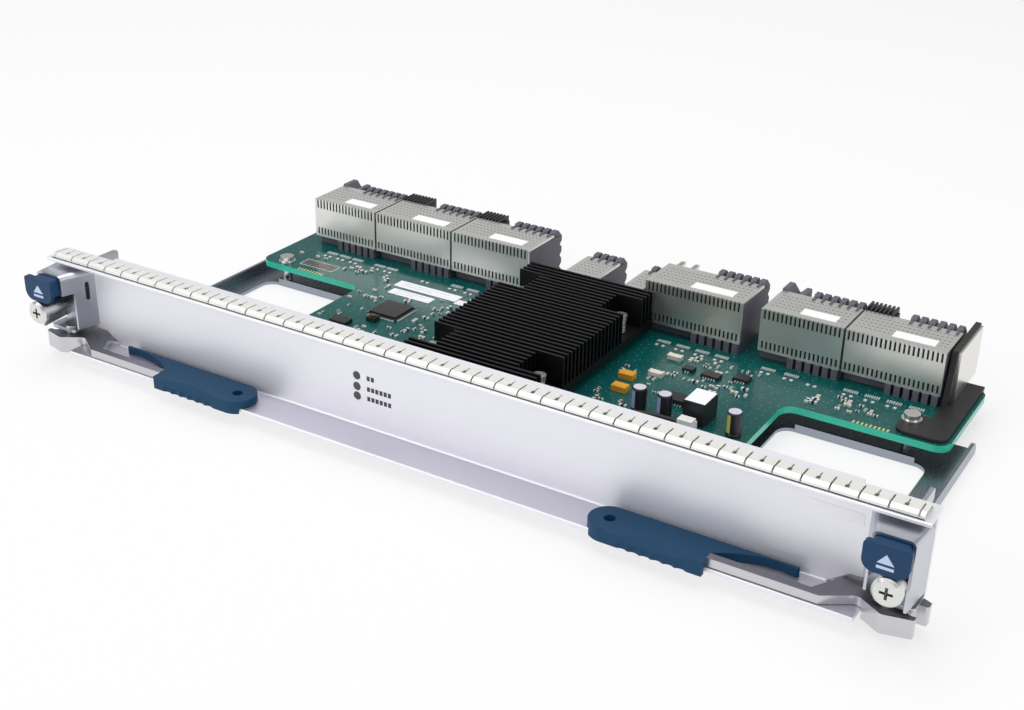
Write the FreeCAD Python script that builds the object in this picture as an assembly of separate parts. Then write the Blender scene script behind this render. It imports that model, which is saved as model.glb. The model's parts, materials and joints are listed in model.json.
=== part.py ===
"""Switch fabric module for a network chassis, modelled as an assembly of its separate pieces.

Millimetres, +Z up, +X to the right seen from the front, +Y towards the backplane.
Inside the functions Y is measured from the front face of the panel's web, and save()
shifts each piece so that the origin is at the middle of the module's underside.
"""
import FreeCAD
import Part
import math
import os

V = FreeCAD.Vector
X_AXIS = V(1, 0, 0)
Y_AXIS = V(0, 1, 0)
Z_AXIS = V(0, 0, 1)
TINY = 0.01
PAST = 1.0

# Overall reach
PANEL_LENGTH = 399.0
PANEL_TOP = 45.5
FRONT_REACH = 22.5

# Front panel: web, top flange and ledge
WEB = 2.0
FLANGE_SHEET = 1.5
FLANGE_FRONT = 7.4
FLANGE_REAR = 8.6
FLANGE_END_REAR = 6.0
FLANGE_END_SPAN = 27.0
LEDGE_TOP = 7.5
LEDGE_SHEET = 1.6
LEDGE_DEPTH = 16.2
LEDGE_INSET = 18.0
FOOT_END_INSET = 20.5
NOTCH_INNER_INSET = 33.5
NOTCH_OUTER_INSET = 25.5
NOTCH_TOP = 13.2
PANEL_BEND = 0.5
PANEL_CORNER = 1.0

# Spring-finger gasket on the flange
FINGER_PITCH = 10.0
FINGER_GAP = 0.7
GASKET_SHEET = 0.35
GASKET_HEIGHT = 2.5
GASKET_FRONT = 6.2
GASKET_REAR = 4.0
GASKET_INSET = 2.5
GASKET_SHOULDER = 1.5
GASKET_CROWN = 1.4
GASKET_TAIL = 2.6
GASKET_FALL = 0.3
FINGER_NOTCH = 1.5
FINGER_NOTCH_FRONT = 4.2
FINGER_NOTCH_LENGTH = 2.2
FINGER_NOTCH_DEPTH = 1.2
FINGER_SLIT = 0.5

# Status lights
LIGHT_X = -33.5
LIGHT_RADIUS = 1.75
LIGHT_HEIGHTS = (30.0, 25.2, 20.9)
LIGHT_CLEARANCE = 0.1
LIGHT_BOARD_GAP = 4.0
LIGHT_BOARD = (20.0, 1.6, 22.0)
LIGHT_POST_RADIUS = 1.5
LIGHT_POST_INSET = 2.5
LIGHT_POST_RISE = 3.0

# End brackets
BRACKET_SHEET = 1.5
PLATE_INNER_GAP = 1.8
PLATE_OUTER_GAP = 1.4
PLATE_TOP_GAP = 0.4
SHELF_BOTTOM = 12.4
SHELF_DEPTH = 9.4
SHELF_WIDTH = 14.4
EAR_INSET = 9.3
EAR_REACH = 26.0
EAR_BOTTOM = 29.5
EAR_TOP = 40.0
EAR_TIP = 5.0

# Arched guides round the eject buttons, one folded sheet that narrows towards the front
ARCH_SHEET = 1.0
ARCH_TOP = 42.2
ARCH_FRONT = 15.0
ARCH_BEND = 2.2
ARCH_FOOT_INSET = 21.1
ARCH_NOSE_INSET = 16.1
ARCH_OUTER_FOOT_INSET = 0.1
ARCH_OUTER_NOSE_INSET = 1.5
ARCH_BOTTOM = 15.2
LEG_CUT_DEPTH = 5.6
LEG_CUT_TOP = 32.8
SLOT_WIDTH = 1.8
SLOT_LENGTH = 8.6
SLOT_Y = 3.8
SLOT_MIDDLE = 32.6

# Eject buttons
BUTTON_FIT = 0.3
BUTTON_BODY_HEIGHT = 7.4
BUTTON_BODY_REAR = 6.6
BUTTON_PLATE_FRONT = 21.5
BUTTON_PLATE = 2.2
BUTTON_PLATE_WIDTH = 16.0
BUTTON_PLATE_TOP = 42.0
BUTTON_PLATE_BOTTOM = 31.0
BUTTON_CORNER = 4.5
BUTTON_UPPER_CORNER = 1.5
BUTTON_BORE = 2.5
BUTTON_BORE_DEPTH = 7.0
BUTTON_SPRING_RADIUS = 2.2
SPRING_WIRE = 0.5

# Captive screws
SCREW_INSET = 7.0
SCREW_Z = 25.3
SCREW_SHANK = 2.0
SCREW_FIT = 0.05
SCREW_HOLE_RADIUS = 2.5
SCREW_HEAD_RADIUS = 5.3
SCREW_HEAD = 2.4
SCREW_HEAD_BEVEL = 0.9
SCREW_SKIRT_RADIUS = 4.5
SCREW_SKIRT_WALL = 0.8
SCREW_SKIRT_END = 11.5
SCREW_TIP = 9.0
SCREW_TIP_BEVEL = 0.6
SCREW_NECK_RADIUS = 1.5
SCREW_THREAD = 7.0
FERRULE_FIT = 0.1
FERRULE_FRONT = 14.4
FERRULE_SHOULDER = 5.0
FERRULE_WALL = 0.8
FERRULE_SPRING_GAP = 0.15
RECESS_ARM = 4.6
RECESS_WIDTH = 1.0
RECESS_DEPTH = 1.6

# Ejector levers, with reaches along X from the pivot
PIVOT_INSET = 9.5
PIVOT_Y = -5.5
PIVOT_RADIUS = 2.0
PIVOT_FIT = 0.05
PIVOT_HEAD_RADIUS = 3.4
PIVOT_HEAD = 0.8
LEVER_TOP = 11.2
LEVER_BOTTOM = 3.7
LEVER_LIFT = 0.2
ARM_FRONT = 15.2
ARM_DEPTH = 3.4
ARM_LENGTH = 90.0
BEND_REACH = 21.0
SHOULDER_REACH = 18.2
SHOULDER_Y = -0.4
SHOULDER_START = 25.0
WAIST_REACH = 10.0
WAIST_FRONT = 8.0
WAIST_RADIUS = 3.0
BOSS_REACH = 0.3
BOSS_FRONT = 14.0
BOSS_RADIUS = 2.5
BOSS_REAR = 3.5
BOSS_REAR_REACH = 16.0
BOSS_CUTS = ((8.0, -16.2), (6.0, -5.5), (-3.0, 0.0))
JAW_REACH = 10.3
JAW_FRONT = 11.6
JAW_REAR = 9.3
JAW_RADIUS = 1.0
MOUTH_REACH = 6.6
MOUTH_RADIUS = 2.0
CLAW_REACH = 12.2
CLAW_FRONT = 2.0
CLAW_REAR = 1.2
CLAW_BEVEL = 5.0

# Moulded lever handles, with reaches along X from the pivot
HANDLE_TOP = 11.0
HANDLE_FLOAT = 0.3
HANDLE_END_REACH = 102.0
HANDLE_END_Y = -10.8
HANDLE_RADIUS = 8.1
HANDLE_HOLE = 2.25
HANDLE_OUTER_REACH = 61.9
HANDLE_RIM_BOTTOM = 5.3
HANDLE_RIM_GAP = 0.5
TAIL_REACH = 33.0
TAIL_WIDTH = 1.6
TAIL_STEP = 11.6
FLANK_SAG = 3.4
GRIP_START = 7.0
GRIP_LENGTH = 28.0
GRIP_PITCH = 4.6
GRIP_RADIUS = 3.4
GRIP_SINK = 2.75
GRIP_DROP = 3.0
FACET_RADIUS = 50.0
FACET_DEPTH = 1.6
FACET_LENGTH = 20.0
TONGUE_TOP = 10.0

# Carrier tray
TRAY_SHEET = 1.5
TRAY_INSET = 17.5
TRAY_REAR = 130.0
RAIL_HEIGHT = 6.0
RAIL_END_RADIUS = 4.0
RAIL_START = 6.0
WINDOW_INNER = 107.3
WINDOW_INSET = 12.0
WINDOW_FRONT = 22.0
WINDOW_REAR = 105.8
WINDOW_RADIUS = 6.0
WINDOW_LIP = 2.2

# Circuit board and what holds it
BOARD_THICKNESS = 3.1
STANDOFF_HEIGHT = 6.5
STANDOFF_RADIUS = 2.6
BOARD_FRONT = 14.0
BOARD_REAR_MARGIN = 26.4
WING_INSET = 6.0
WING_FRONT = 106.9
CORE_LEFT = -112.9
CORE_RIGHT = 107.3
CORE_RADIUS = 6.0
BOARD_CORNER = 6.0
SCREW_HOLE = 1.7
BOARD_SCREW_SHANK = 1.6
BOARD_SCREW_HEAD = 3.4
BOARD_SCREW_HEIGHT = 2.2
WASHER_RADIUS = 4.2
WASHER = 0.8
LEFT_SCREW_INSET = 13.0
LEFT_SCREW_Y = 112.0
RIGHT_SCREW_INSET = 19.0
RIGHT_SCREW_Y = 120.0
CORE_SCREW_X = 94.0
CORE_SCREW_Y = 24.0

# Switch chip and heat sink
SINK_X = -2.4
SINK_WIDTH = 64.0
SINK_FRONT = 26.0
SINK_LENGTH = 112.6
SINK_TOP_ABOVE = 20.9
SINK_BASE = 4.0
SINK_REAR_GAP = 1.0
CHIP_SIDE = 40.0
CHIP_HEIGHT = 3.2
FIN_PITCH = 3.2
FIN = 1.1
NOTCH_DEPTH = 12.0
NOTCH_NEAR = 28.0
NOTCH_FAR = 43.0
SINK_SCREW_RADIUS = 1.5
SINK_SCREW_HEAD = 3.0
SINK_SCREW_HEAD_HEIGHT = 2.4
SINK_SPRING_RADIUS = 2.6
SINK_SPRING_HEIGHT = 6.0
SINK_HOLE_FIT = 0.1

# Backplane connectors, with their ends as shares of the board's half width
SHELL_DEPTH = 24.1
SHELL_HEIGHT = 24.7
SHELL_STAND = 4.8
SHELL_SHEET = 0.8
SHELL_SIDE_GAP = 0.4
SLIT_PITCH = 2.0
SLIT = 0.9
UPPER_SLIT = 4.6
LOWER_SLIT = 3.6
LOWER_SLIT_RISE = 1.2
FIN_REACH = 31.4
WAFER_PITCH = 4.0
WAFER = 2.5
WAFER_RISE = 0.9
SCALLOP = 1.8
SCALLOP_PITCH = 5.5
SCALLOP_START = 0.3
SCALLOP_END = 0.7
WAFER_SPAN = 24.5
TONGUE_WIDTH = 1.0
TONGUE_LENGTH = 3.6
TONGUE_RISE = 0.5
WAFER_CHAMFER = 2.0
FOOT_WIDTH = 2.6
FOOT_FORWARD = 0.7
FOOT_DEPTH = 4.0
LOW_HEIGHT = 18.5
GUIDE_BLOCK_SHARE = 0.81
GUIDE_NOTCH = 4.0
GUIDE_NOTCH_MARGIN = 1.0
GUIDE_BLOCK_STEP = 1.0
POWER_BLOCK_SHARE = 0.72
POWER_RIB = 1.0
POWER_RIB_PITCH = 1.9
POWER_DROP = 1.0
GUIDE_PIN_RADIUS = 1.6
GUIDE_PIN_PITCH = 7.0
GUIDE_PIN_POINT = 0.64
GUIDE_PIN_TAPER = 3.2
TALL_CONNECTORS = (
    ("connector_1", -0.946, -0.7255, "guide"),
    ("connector_2", -0.7255, -0.4655, "power"),
    ("connector_3", -0.4655, -0.2115, "power"),
    ("connector_4", 0.1365, 0.412, "pins"),
    ("connector_5", 0.4565, 0.675, "guide"),
    ("connector_6", 0.675, 0.924, "power"),
)
LOW_CONNECTORS = ((-0.108, -0.0035), (0.068, 0.1275))

# Keying guide at the right rear corner of the board
GUIDE_FOOT = 1.6
FOOT_INSET = 23.0
FOOT_MARGIN = 1.8
FOOT_FRONT = 108.6
FOOT_SPAN = 17.0
FOOT_CORNER = 4.5
WALL_GAP = 0.8
GUIDE_WALL = 2.4
GUIDE_WALL_SETBACK = 4.4
GUIDE_WALL_REACH = 7.0
GUIDE_WALL_TOP_ABOVE = 24.9
GUIDE_PLATE = 1.2
GUIDE_PLATE_MARGIN = 0.8
GUIDE_SLOPE = 5.0

# Board components
CONTROLLER = (-82.8, 91.0, 16.4, 1.0)
CONTROLLER_CAP = 0.8
CONTROLLER_CAP_INSET = 0.8
SMALL_CHIPS = (
    (-95.3, 68.5, 9.0, 6.0, 2.0),
    (60.6, 113.0, 5.0, 4.0, 1.6),
    (71.4, 112.5, 8.0, 5.0, 1.6),
    (83.7, 117.0, 7.0, 5.0, 1.6),
    (69.0, 84.0, 9.0, 7.0, 2.4),
)
TANTALUMS = ((41.2, 92.0), (44.1, 80.0))
TANTALUM = (7.0, 4.3, 2.8)
TANTALUM_BEVEL = 0.4
CAN_PLACES = ((59.0, 68.0), (70.4, 68.2), (100.4, 70.0))
CAN_RADIUS = 3.15
CAN_HEIGHT = 11.0
CAN_GROOVE = 0.35
CAN_GROOVE_HALF = 0.5
CAN_BEVEL = 0.5
CAN_BASE = 1.2
POWER_MODULE = (83.2, 75.0, 9.6, 12.6, 10.1)
POWER_CAP = 0.3
POWER_CAP_INSET = 0.4
INDUCTOR = (-84.3, 78.5, 4.6, 2.4)
INDUCTOR_CORE = 1.5
INDUCTOR_CORE_RISE = 0.5
PLUG = (82.5, 63.6, 6.4, 4.6, 5.2)
PLUG_LIP = 1.0
PLUG_LIP_WIDTH = 7.6
PLUG_LIP_DROP = 1.2
LABEL = 0.15
BOARD_LABELS = ((-82.5, 120.5, 36.0, 7.0), (-86.0, 111.5, 24.0, 6.0), (-61.5, 117.5, 5.0, 5.0))
PANEL_LABEL_INSET = 33.4
PANEL_LABEL = (35.25, 20.8, 4.5)
COVER_LABEL_X = 0.64
COVER_LABEL_Y = 0.3
COVER_LABEL_WIDTH = 0.42
COVER_LABEL_DEPTH = 0.26

# Light lead, from the light board to its plug
LEAD_RADIUS = 1.1
LEAD_BEND_SHARE = 0.45
LEAD_ROUTE = (
    (-28.0, 7.6, 20.0),
    (-28.0, 23.0, 20.0),
    (-9.0, 23.0, 13.2),
    (11.0, 21.2, 12.6),
    (29.0, 22.2, 12.6),
    (43.5, 31.0, 13.4),
    (52.0, 45.0, 15.0),
    (58.0, 57.0, 15.2),
    (68.0, 62.9, 14.2),
    (79.3, 62.9, 14.2),
)

# Places worked out from the driving sizes
CONNECTOR_FRONT = SINK_FRONT + SINK_LENGTH + SINK_REAR_GAP
SHELL_REAR = CONNECTOR_FRONT + SHELL_DEPTH
FIN_REAR = CONNECTOR_FRONT + FIN_REACH
REAR_REACH = FIN_REAR + GUIDE_WALL_REACH
WEB_Y = (FRONT_REACH - REAR_REACH) / 2
PANEL_HALF = PANEL_LENGTH / 2
FLANGE_BOTTOM = PANEL_TOP - FLANGE_SHEET
LEDGE_END = PANEL_HALF - LEDGE_INSET
FOOT_END = PANEL_HALF - FOOT_END_INSET
NOTCH_INNER = PANEL_HALF - NOTCH_INNER_INSET
NOTCH_OUTER = PANEL_HALF - NOTCH_OUTER_INSET
SCREW_X = PANEL_HALF - SCREW_INSET
PIVOT_X = PANEL_HALF - PIVOT_INSET
BUTTON_X = PANEL_HALF - (ARCH_NOSE_INSET + ARCH_OUTER_NOSE_INSET) / 2
BUTTON_HALF = (ARCH_NOSE_INSET - ARCH_OUTER_NOSE_INSET) / 2 - ARCH_SHEET - BUTTON_FIT
BUTTON_TOP = ARCH_TOP - ARCH_SHEET - BUTTON_FIT
BUTTON_MIDDLE = BUTTON_TOP - BUTTON_BODY_HEIGHT / 2
FERRULE_RADIUS = SCREW_SKIRT_RADIUS - SCREW_SKIRT_WALL - FERRULE_FIT
ARM_INNER = PIVOT_X - ARM_LENGTH
ARM_REAR = -ARM_FRONT + ARM_DEPTH
ARM_BOTTOM = LEDGE_TOP + LEVER_LIFT
HANDLE_END_X = PIVOT_X - HANDLE_END_REACH
HANDLE_OUTER = PIVOT_X - HANDLE_OUTER_REACH
HANDLE_FACE = HANDLE_END_Y - HANDLE_RADIUS
TAIL_TIP_X = PIVOT_X - TAIL_REACH
TRAY_HALF = PANEL_HALF - TRAY_INSET
WING_HALF = TRAY_HALF - WING_INSET
BOARD_BOTTOM = TRAY_SHEET + STANDOFF_HEIGHT
BOARD_TOP = BOARD_BOTTOM + BOARD_THICKNESS
SINK_BOTTOM = BOARD_TOP + CHIP_HEIGHT
SINK_FLOOR = SINK_BOTTOM + SINK_BASE
SINK_TOP = BOARD_TOP + SINK_TOP_ABOVE
SHELL_TOP = BOARD_TOP + SHELL_HEIGHT
SHELL_BOTTOM = BOARD_TOP + SHELL_STAND
BOARD_REAR = CONNECTOR_FRONT + BOARD_REAR_MARGIN
WALL_X = TALL_CONNECTORS[-1][2] * WING_HALF + WALL_GAP
GUIDE_WALL_FRONT = CONNECTOR_FRONT + GUIDE_WALL_SETBACK
FOOT_STEP = FOOT_FRONT + FOOT_SPAN
BOLT_PLACES = (
    (-WING_HALF + LEFT_SCREW_INSET, LEFT_SCREW_Y, BOARD_TOP),
    (WING_HALF - RIGHT_SCREW_INSET, RIGHT_SCREW_Y, BOARD_TOP + GUIDE_FOOT),
    (-CORE_SCREW_X, CORE_SCREW_Y, BOARD_TOP),
    (CORE_SCREW_X, CORE_SCREW_Y, BOARD_TOP),
)


def box(x0, x1, y0, y1, z0, z1):
    """Box between two corners."""
    return Part.makeBox(x1 - x0, y1 - y0, z1 - z0, V(x0, y0, z0))


def block(x, y, z, width, depth, height):
    """Box centred on x and y that stands on z."""
    return box(x - width / 2, x + width / 2, y - depth / 2, y + depth / 2, z, z + height)


def rod(radius, start, end):
    """Round bar between two points."""
    along = V(*end) - V(*start)
    return Part.makeCylinder(radius, along.Length, V(*start), along)


def tube(outer, inner, start, end):
    """Round tube between two points."""
    return rod(outer, start, end).cut(rod(inner, start, end))


def plan(points, z0, z1):
    """Prism over a plan outline of (x, y) points."""
    wire = Part.makePolygon([V(x, y, z0) for x, y in points + points[:1]])
    return Part.Face(wire).extrude(V(0, 0, z1 - z0))


def profile(points, x0, x1):
    """Prism along X over a side outline of (y, z) points."""
    wire = Part.makePolygon([V(x0, y, z) for y, z in points + points[:1]])
    return Part.Face(wire).extrude(V(x1 - x0, 0, 0))


def elevation(points, y0, y1):
    """Prism along Y over a front outline of (x, z) points."""
    wire = Part.makePolygon([V(x, y0, z) for x, z in points + points[:1]])
    return Part.Face(wire).extrude(V(0, y1 - y0, 0))


def round_edges(shape, radius, wanted):
    """Fillet the edges whose middle point satisfies wanted(point, direction)."""
    edges = []
    for edge in shape.Edges:
        if not isinstance(edge.Curve, Part.Line):
            continue
        a, b = edge.Vertexes[0].Point, edge.Vertexes[-1].Point
        if wanted((a + b) * 0.5, (b - a).normalize()):
            edges.append(edge)
    return shape.makeFillet(radius, edges)


def near(point, places):
    """Test for a point that lies over one of the (x, y) places."""
    return any(math.hypot(point.x - x, point.y - y) < TINY for x, y in places)


def along(axis):
    """Test for a direction parallel to an axis."""
    return lambda direction: abs(direction.dot(axis)) > 0.99


def mirrored(shape):
    """Left-hand copy of a right-hand piece."""
    return shape.mirror(V(0, 0, 0), X_AXIS)


def save(name, shape):
    """Place a piece in the module's frame and write it."""
    placed = shape.copy()
    placed.translate(V(0, WEB_Y, 0))
    placed.exportStep("parts/" + name + ".step")


def save_pair(name, shape):
    """Write a right-hand piece and its left-hand mirror image."""
    save("right_" + name, shape)
    save("left_" + name, mirrored(shape))


def front_panel():
    """Extruded panel: web, top flange and ledge in one section, then its notches and holes."""
    ledge_bottom = LEDGE_TOP - LEDGE_SHEET
    section = [
        (0, 0), (WEB, 0), (WEB, FLANGE_BOTTOM), (FLANGE_REAR, FLANGE_BOTTOM), (FLANGE_REAR, PANEL_TOP),
        (-FLANGE_FRONT, PANEL_TOP), (-FLANGE_FRONT, FLANGE_BOTTOM), (0, FLANGE_BOTTOM),
        (0, LEDGE_TOP), (-LEDGE_DEPTH, LEDGE_TOP), (-LEDGE_DEPTH, ledge_bottom), (0, ledge_bottom),
    ]
    panel = profile(section, -PANEL_HALF, PANEL_HALF)
    for front in (-FLANGE_FRONT, -LEDGE_DEPTH):
        panel = round_edges(panel, PANEL_BEND,
                            lambda p, d: along(X_AXIS)(d) and abs(p.y - front) < TINY)
    panel = round_edges(panel, PANEL_CORNER,
                        lambda p, d: along(X_AXIS)(d) and abs(p.y) < TINY and abs(p.z - LEDGE_TOP) < TINY)
    cuts = []
    for side in (-1, 1):
        x_end = side * (PANEL_HALF + PAST)
        x0, x1 = sorted((x_end, side * (PANEL_HALF - FLANGE_END_SPAN)))
        cuts.append(box(x0, x1, FLANGE_END_REAR, FLANGE_REAR + PAST, FLANGE_BOTTOM - PAST, PANEL_TOP + PAST))
        x0, x1 = sorted((x_end, side * LEDGE_END))
        cuts.append(box(x0, x1, -LEDGE_DEPTH - PAST, 0, ledge_bottom - PAST, LEDGE_TOP + PANEL_CORNER))
        notch = [(side * NOTCH_INNER, LEDGE_TOP), (side * NOTCH_OUTER, NOTCH_TOP), (x_end, NOTCH_TOP),
                 (x_end, -PAST), (side * FOOT_END, -PAST), (side * FOOT_END, LEDGE_TOP)]
        cuts.append(elevation(notch, -PANEL_CORNER, WEB + PAST))
        cuts.append(rod(SCREW_HOLE_RADIUS, (side * SCREW_X, -PAST, SCREW_Z),
                        (side * SCREW_X, WEB + PAST, SCREW_Z)))
    for z in LIGHT_HEIGHTS:
        cuts.append(rod(LIGHT_RADIUS + LIGHT_CLEARANCE, (LIGHT_X, -PAST, z), (LIGHT_X, WEB + PAST, z)))
    return panel.cut(cuts)


def gasket_section(inset):
    """Side outline of the finger strip, drawn in by a sheet's thickness for its inside."""
    top = PANEL_TOP + GASKET_HEIGHT - inset
    front = -GASKET_FRONT + inset
    return [
        (front, PANEL_TOP), (front, PANEL_TOP + GASKET_SHOULDER), (front + GASKET_CROWN, top),
        (GASKET_REAR - GASKET_TAIL - inset, top - GASKET_FALL), (GASKET_REAR - 2 * inset, PANEL_TOP),
    ]


def emi_gasket():
    """Strip of spring fingers clipped on the flange, with a split notch in each finger."""
    top = PANEL_TOP + GASKET_HEIGHT
    floor_top = PANEL_TOP + GASKET_SHEET
    half = PANEL_HALF - GASKET_INSET
    strip = profile(gasket_section(0), -half, half)
    strip = strip.cut(profile(gasket_section(GASKET_SHEET), -half - PAST, half + PAST))
    floor = box(-half, half, -GASKET_FRONT + TINY, GASKET_REAR - GASKET_SHEET, PANEL_TOP, floor_top)
    count = int(2 * half // FINGER_PITCH)
    first = -count * FINGER_PITCH / 2
    cuts = []
    for i in range(count + 1):
        x = first + i * FINGER_PITCH
        cuts.append(box(x - FINGER_GAP / 2, x + FINGER_GAP / 2, -GASKET_FRONT - PAST, GASKET_REAR - PAST,
                        floor_top, top + PAST))
    for i in range(count):
        x = first + (i + 0.5) * FINGER_PITCH
        cuts.append(box(x - FINGER_NOTCH / 2, x + FINGER_NOTCH / 2, -FINGER_NOTCH_FRONT,
                        -FINGER_NOTCH_FRONT + FINGER_NOTCH_LENGTH, top - FINGER_NOTCH_DEPTH, top + PAST))
        cuts.append(box(x - FINGER_SLIT / 2, x + FINGER_SLIT / 2, -FINGER_NOTCH_FRONT, GASKET_REAR - PAST,
                        floor_top, top + PAST))
    return strip.fuse(floor).cut(cuts).removeSplitter()


def status_lights():
    """Lamp bodies that stand on the light board and end flush in the web."""
    rear = WEB + LIGHT_BOARD_GAP
    return Part.makeCompound([rod(LIGHT_RADIUS, (LIGHT_X, 0, z), (LIGHT_X, rear, z)) for z in LIGHT_HEIGHTS])


def light_board():
    """Small board behind the web that carries the status lights."""
    width, thickness, height = LIGHT_BOARD
    front = WEB + LIGHT_BOARD_GAP
    low = (LIGHT_HEIGHTS[0] + LIGHT_HEIGHTS[-1] - height) / 2
    board = box(LIGHT_X - width / 2, LIGHT_X + width / 2, front, front + thickness, low, low + height)
    posts = []
    for side in (-1, 1):
        x = LIGHT_X + side * (width / 2 - LIGHT_POST_INSET)
        z = low + LIGHT_POST_RISE
        posts.append(rod(LIGHT_POST_RADIUS, (x, WEB, z), (x, front, z)))
    return board.fuse(posts)


def end_bracket():
    """Folded end bracket: back plate on the web, pivot shelf under it and an ear behind the web."""
    sheet = BRACKET_SHEET
    x0 = PANEL_HALF - ARCH_FOOT_INSET + PLATE_INNER_GAP
    x1 = PANEL_HALF - ARCH_OUTER_FOOT_INSET - PLATE_OUTER_GAP
    back = box(x0, x1, -sheet, 0, NOTCH_TOP, ARCH_TOP - ARCH_SHEET - PLATE_TOP_GAP)
    shelf_x1 = PANEL_HALF - ARCH_OUTER_FOOT_INSET
    shelf_top = SHELF_BOTTOM + sheet
    shelf = box(shelf_x1 - SHELF_WIDTH, shelf_x1, -SHELF_DEPTH, 0, SHELF_BOTTOM, shelf_top)
    shelf = round_edges(shelf, sheet, lambda p, d: along(Z_AXIS)(d) and p.y < -SHELF_DEPTH + TINY)
    ear_x = PANEL_HALF - EAR_INSET
    ear = profile([(WEB, EAR_BOTTOM), (EAR_REACH, EAR_TOP - EAR_TIP), (EAR_REACH, EAR_TOP), (WEB, EAR_TOP)],
                  ear_x, ear_x + sheet)
    ear = round_edges(ear, sheet, lambda p, d: along(X_AXIS)(d) and p.y > EAR_REACH - TINY)
    hole = rod(SCREW_HOLE_RADIUS, (SCREW_X, -sheet - PAST, SCREW_Z), (SCREW_X, PAST, SCREW_Z))
    pin_hole = rod(PIVOT_RADIUS, (PIVOT_X, PIVOT_Y, SHELF_BOTTOM - PAST),
                   (PIVOT_X, PIVOT_Y, shelf_top + PAST))
    return Part.makeCompound([back.fuse(shelf).removeSplitter().cut([hole, pin_hole]), ear])


def arch_prism(inset, y0, y1, z0, z1):
    """Prism between the arch's two slanted legs, drawn in by inset on both sides."""
    points = []
    for y in (y0, y1):
        share = -y / ARCH_FRONT
        inner = ARCH_FOOT_INSET + (ARCH_NOSE_INSET - ARCH_FOOT_INSET) * share
        outer = ARCH_OUTER_FOOT_INSET + (ARCH_OUTER_NOSE_INSET - ARCH_OUTER_FOOT_INSET) * share
        points.append((PANEL_HALF - inner + inset, y))
        points.append((PANEL_HALF - outer - inset, y))
    return plan([points[0], points[1], points[3], points[2]], z0, z1)


def button_guide():
    """Arched sheet guide round the eject button, with a cut-back and slotted inner leg."""
    roof = ARCH_TOP - ARCH_SHEET
    arch = arch_prism(0, 0, -ARCH_FRONT, ARCH_BOTTOM, ARCH_TOP)
    arch = round_edges(arch, ARCH_BEND, lambda p, d: p.z > ARCH_TOP - TINY and not along(X_AXIS)(d))
    inside = arch_prism(ARCH_SHEET, PAST, -ARCH_FRONT - PAST, ARCH_BOTTOM - PAST, roof)
    inside = round_edges(inside, ARCH_BEND - ARCH_SHEET,
                         lambda p, d: p.z > roof - TINY and not along(X_AXIS)(d))
    x0 = PANEL_HALF - ARCH_FOOT_INSET - PAST
    cut_back = box(x0, BUTTON_X, -ARCH_FRONT - PAST, -ARCH_FRONT + LEG_CUT_DEPTH,
                   ARCH_BOTTOM - PAST, LEG_CUT_TOP)
    half = (SLOT_LENGTH - SLOT_WIDTH) / 2
    slot = [rod(SLOT_WIDTH / 2, (x0, -SLOT_Y, SLOT_MIDDLE + dz), (BUTTON_X, -SLOT_Y, SLOT_MIDDLE + dz))
            for dz in (-half, half)]
    slot.append(box(x0, BUTTON_X, -SLOT_Y - SLOT_WIDTH / 2, -SLOT_Y + SLOT_WIDTH / 2,
                    SLOT_MIDDLE - half, SLOT_MIDDLE + half))
    return arch.cut([inside, cut_back] + slot)


def eject_button():
    """Moulded button: sliding body, wide thumb plate and a blind bore for its spring."""
    plate_rear = -BUTTON_PLATE_FRONT + BUTTON_PLATE
    body = box(BUTTON_X - BUTTON_HALF, BUTTON_X + BUTTON_HALF, plate_rear, -BUTTON_BODY_REAR,
               BUTTON_TOP - BUTTON_BODY_HEIGHT, BUTTON_TOP)
    body = round_edges(body, ARCH_BEND - ARCH_SHEET,
                       lambda p, d: along(Y_AXIS)(d) and p.z > BUTTON_TOP - TINY)
    plate_half = BUTTON_PLATE_WIDTH / 2
    plate = box(BUTTON_X - plate_half, BUTTON_X + plate_half, -BUTTON_PLATE_FRONT, plate_rear,
                BUTTON_PLATE_BOTTOM, BUTTON_PLATE_TOP)
    plate = round_edges(plate, BUTTON_CORNER,
                        lambda p, d: along(Y_AXIS)(d) and p.z < BUTTON_PLATE_BOTTOM + TINY)
    plate = round_edges(plate, BUTTON_UPPER_CORNER,
                        lambda p, d: along(Y_AXIS)(d) and p.z > BUTTON_PLATE_TOP - TINY)
    bore = rod(BUTTON_BORE, (BUTTON_X, -BUTTON_BODY_REAR - BUTTON_BORE_DEPTH, BUTTON_MIDDLE),
               (BUTTON_X, 0, BUTTON_MIDDLE))
    return body.fuse(plate).cut(bore).removeSplitter()


def button_spring():
    """Return spring between the bracket's back plate and the button's bore."""
    return tube(BUTTON_SPRING_RADIUS, BUTTON_SPRING_RADIUS - SPRING_WIRE,
                (BUTTON_X, -BUTTON_BODY_REAR - BUTTON_BORE_DEPTH, BUTTON_MIDDLE),
                (BUTTON_X, -BRACKET_SHEET, BUTTON_MIDDLE))


def screw_ferrule():
    """Pressed-in ferrule that carries the captive screw and its spring."""
    body = rod(FERRULE_RADIUS, (SCREW_X, -FERRULE_FRONT, SCREW_Z), (SCREW_X, -BRACKET_SHEET, SCREW_Z))
    bore = rod(SCREW_SHANK + SCREW_FIT, (SCREW_X, -FERRULE_FRONT - PAST, SCREW_Z), (SCREW_X, 0, SCREW_Z))
    pocket = rod(FERRULE_RADIUS - FERRULE_WALL, (SCREW_X, -FERRULE_FRONT - PAST, SCREW_Z),
                 (SCREW_X, -FERRULE_SHOULDER, SCREW_Z))
    return body.cut([bore, pocket])


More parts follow.
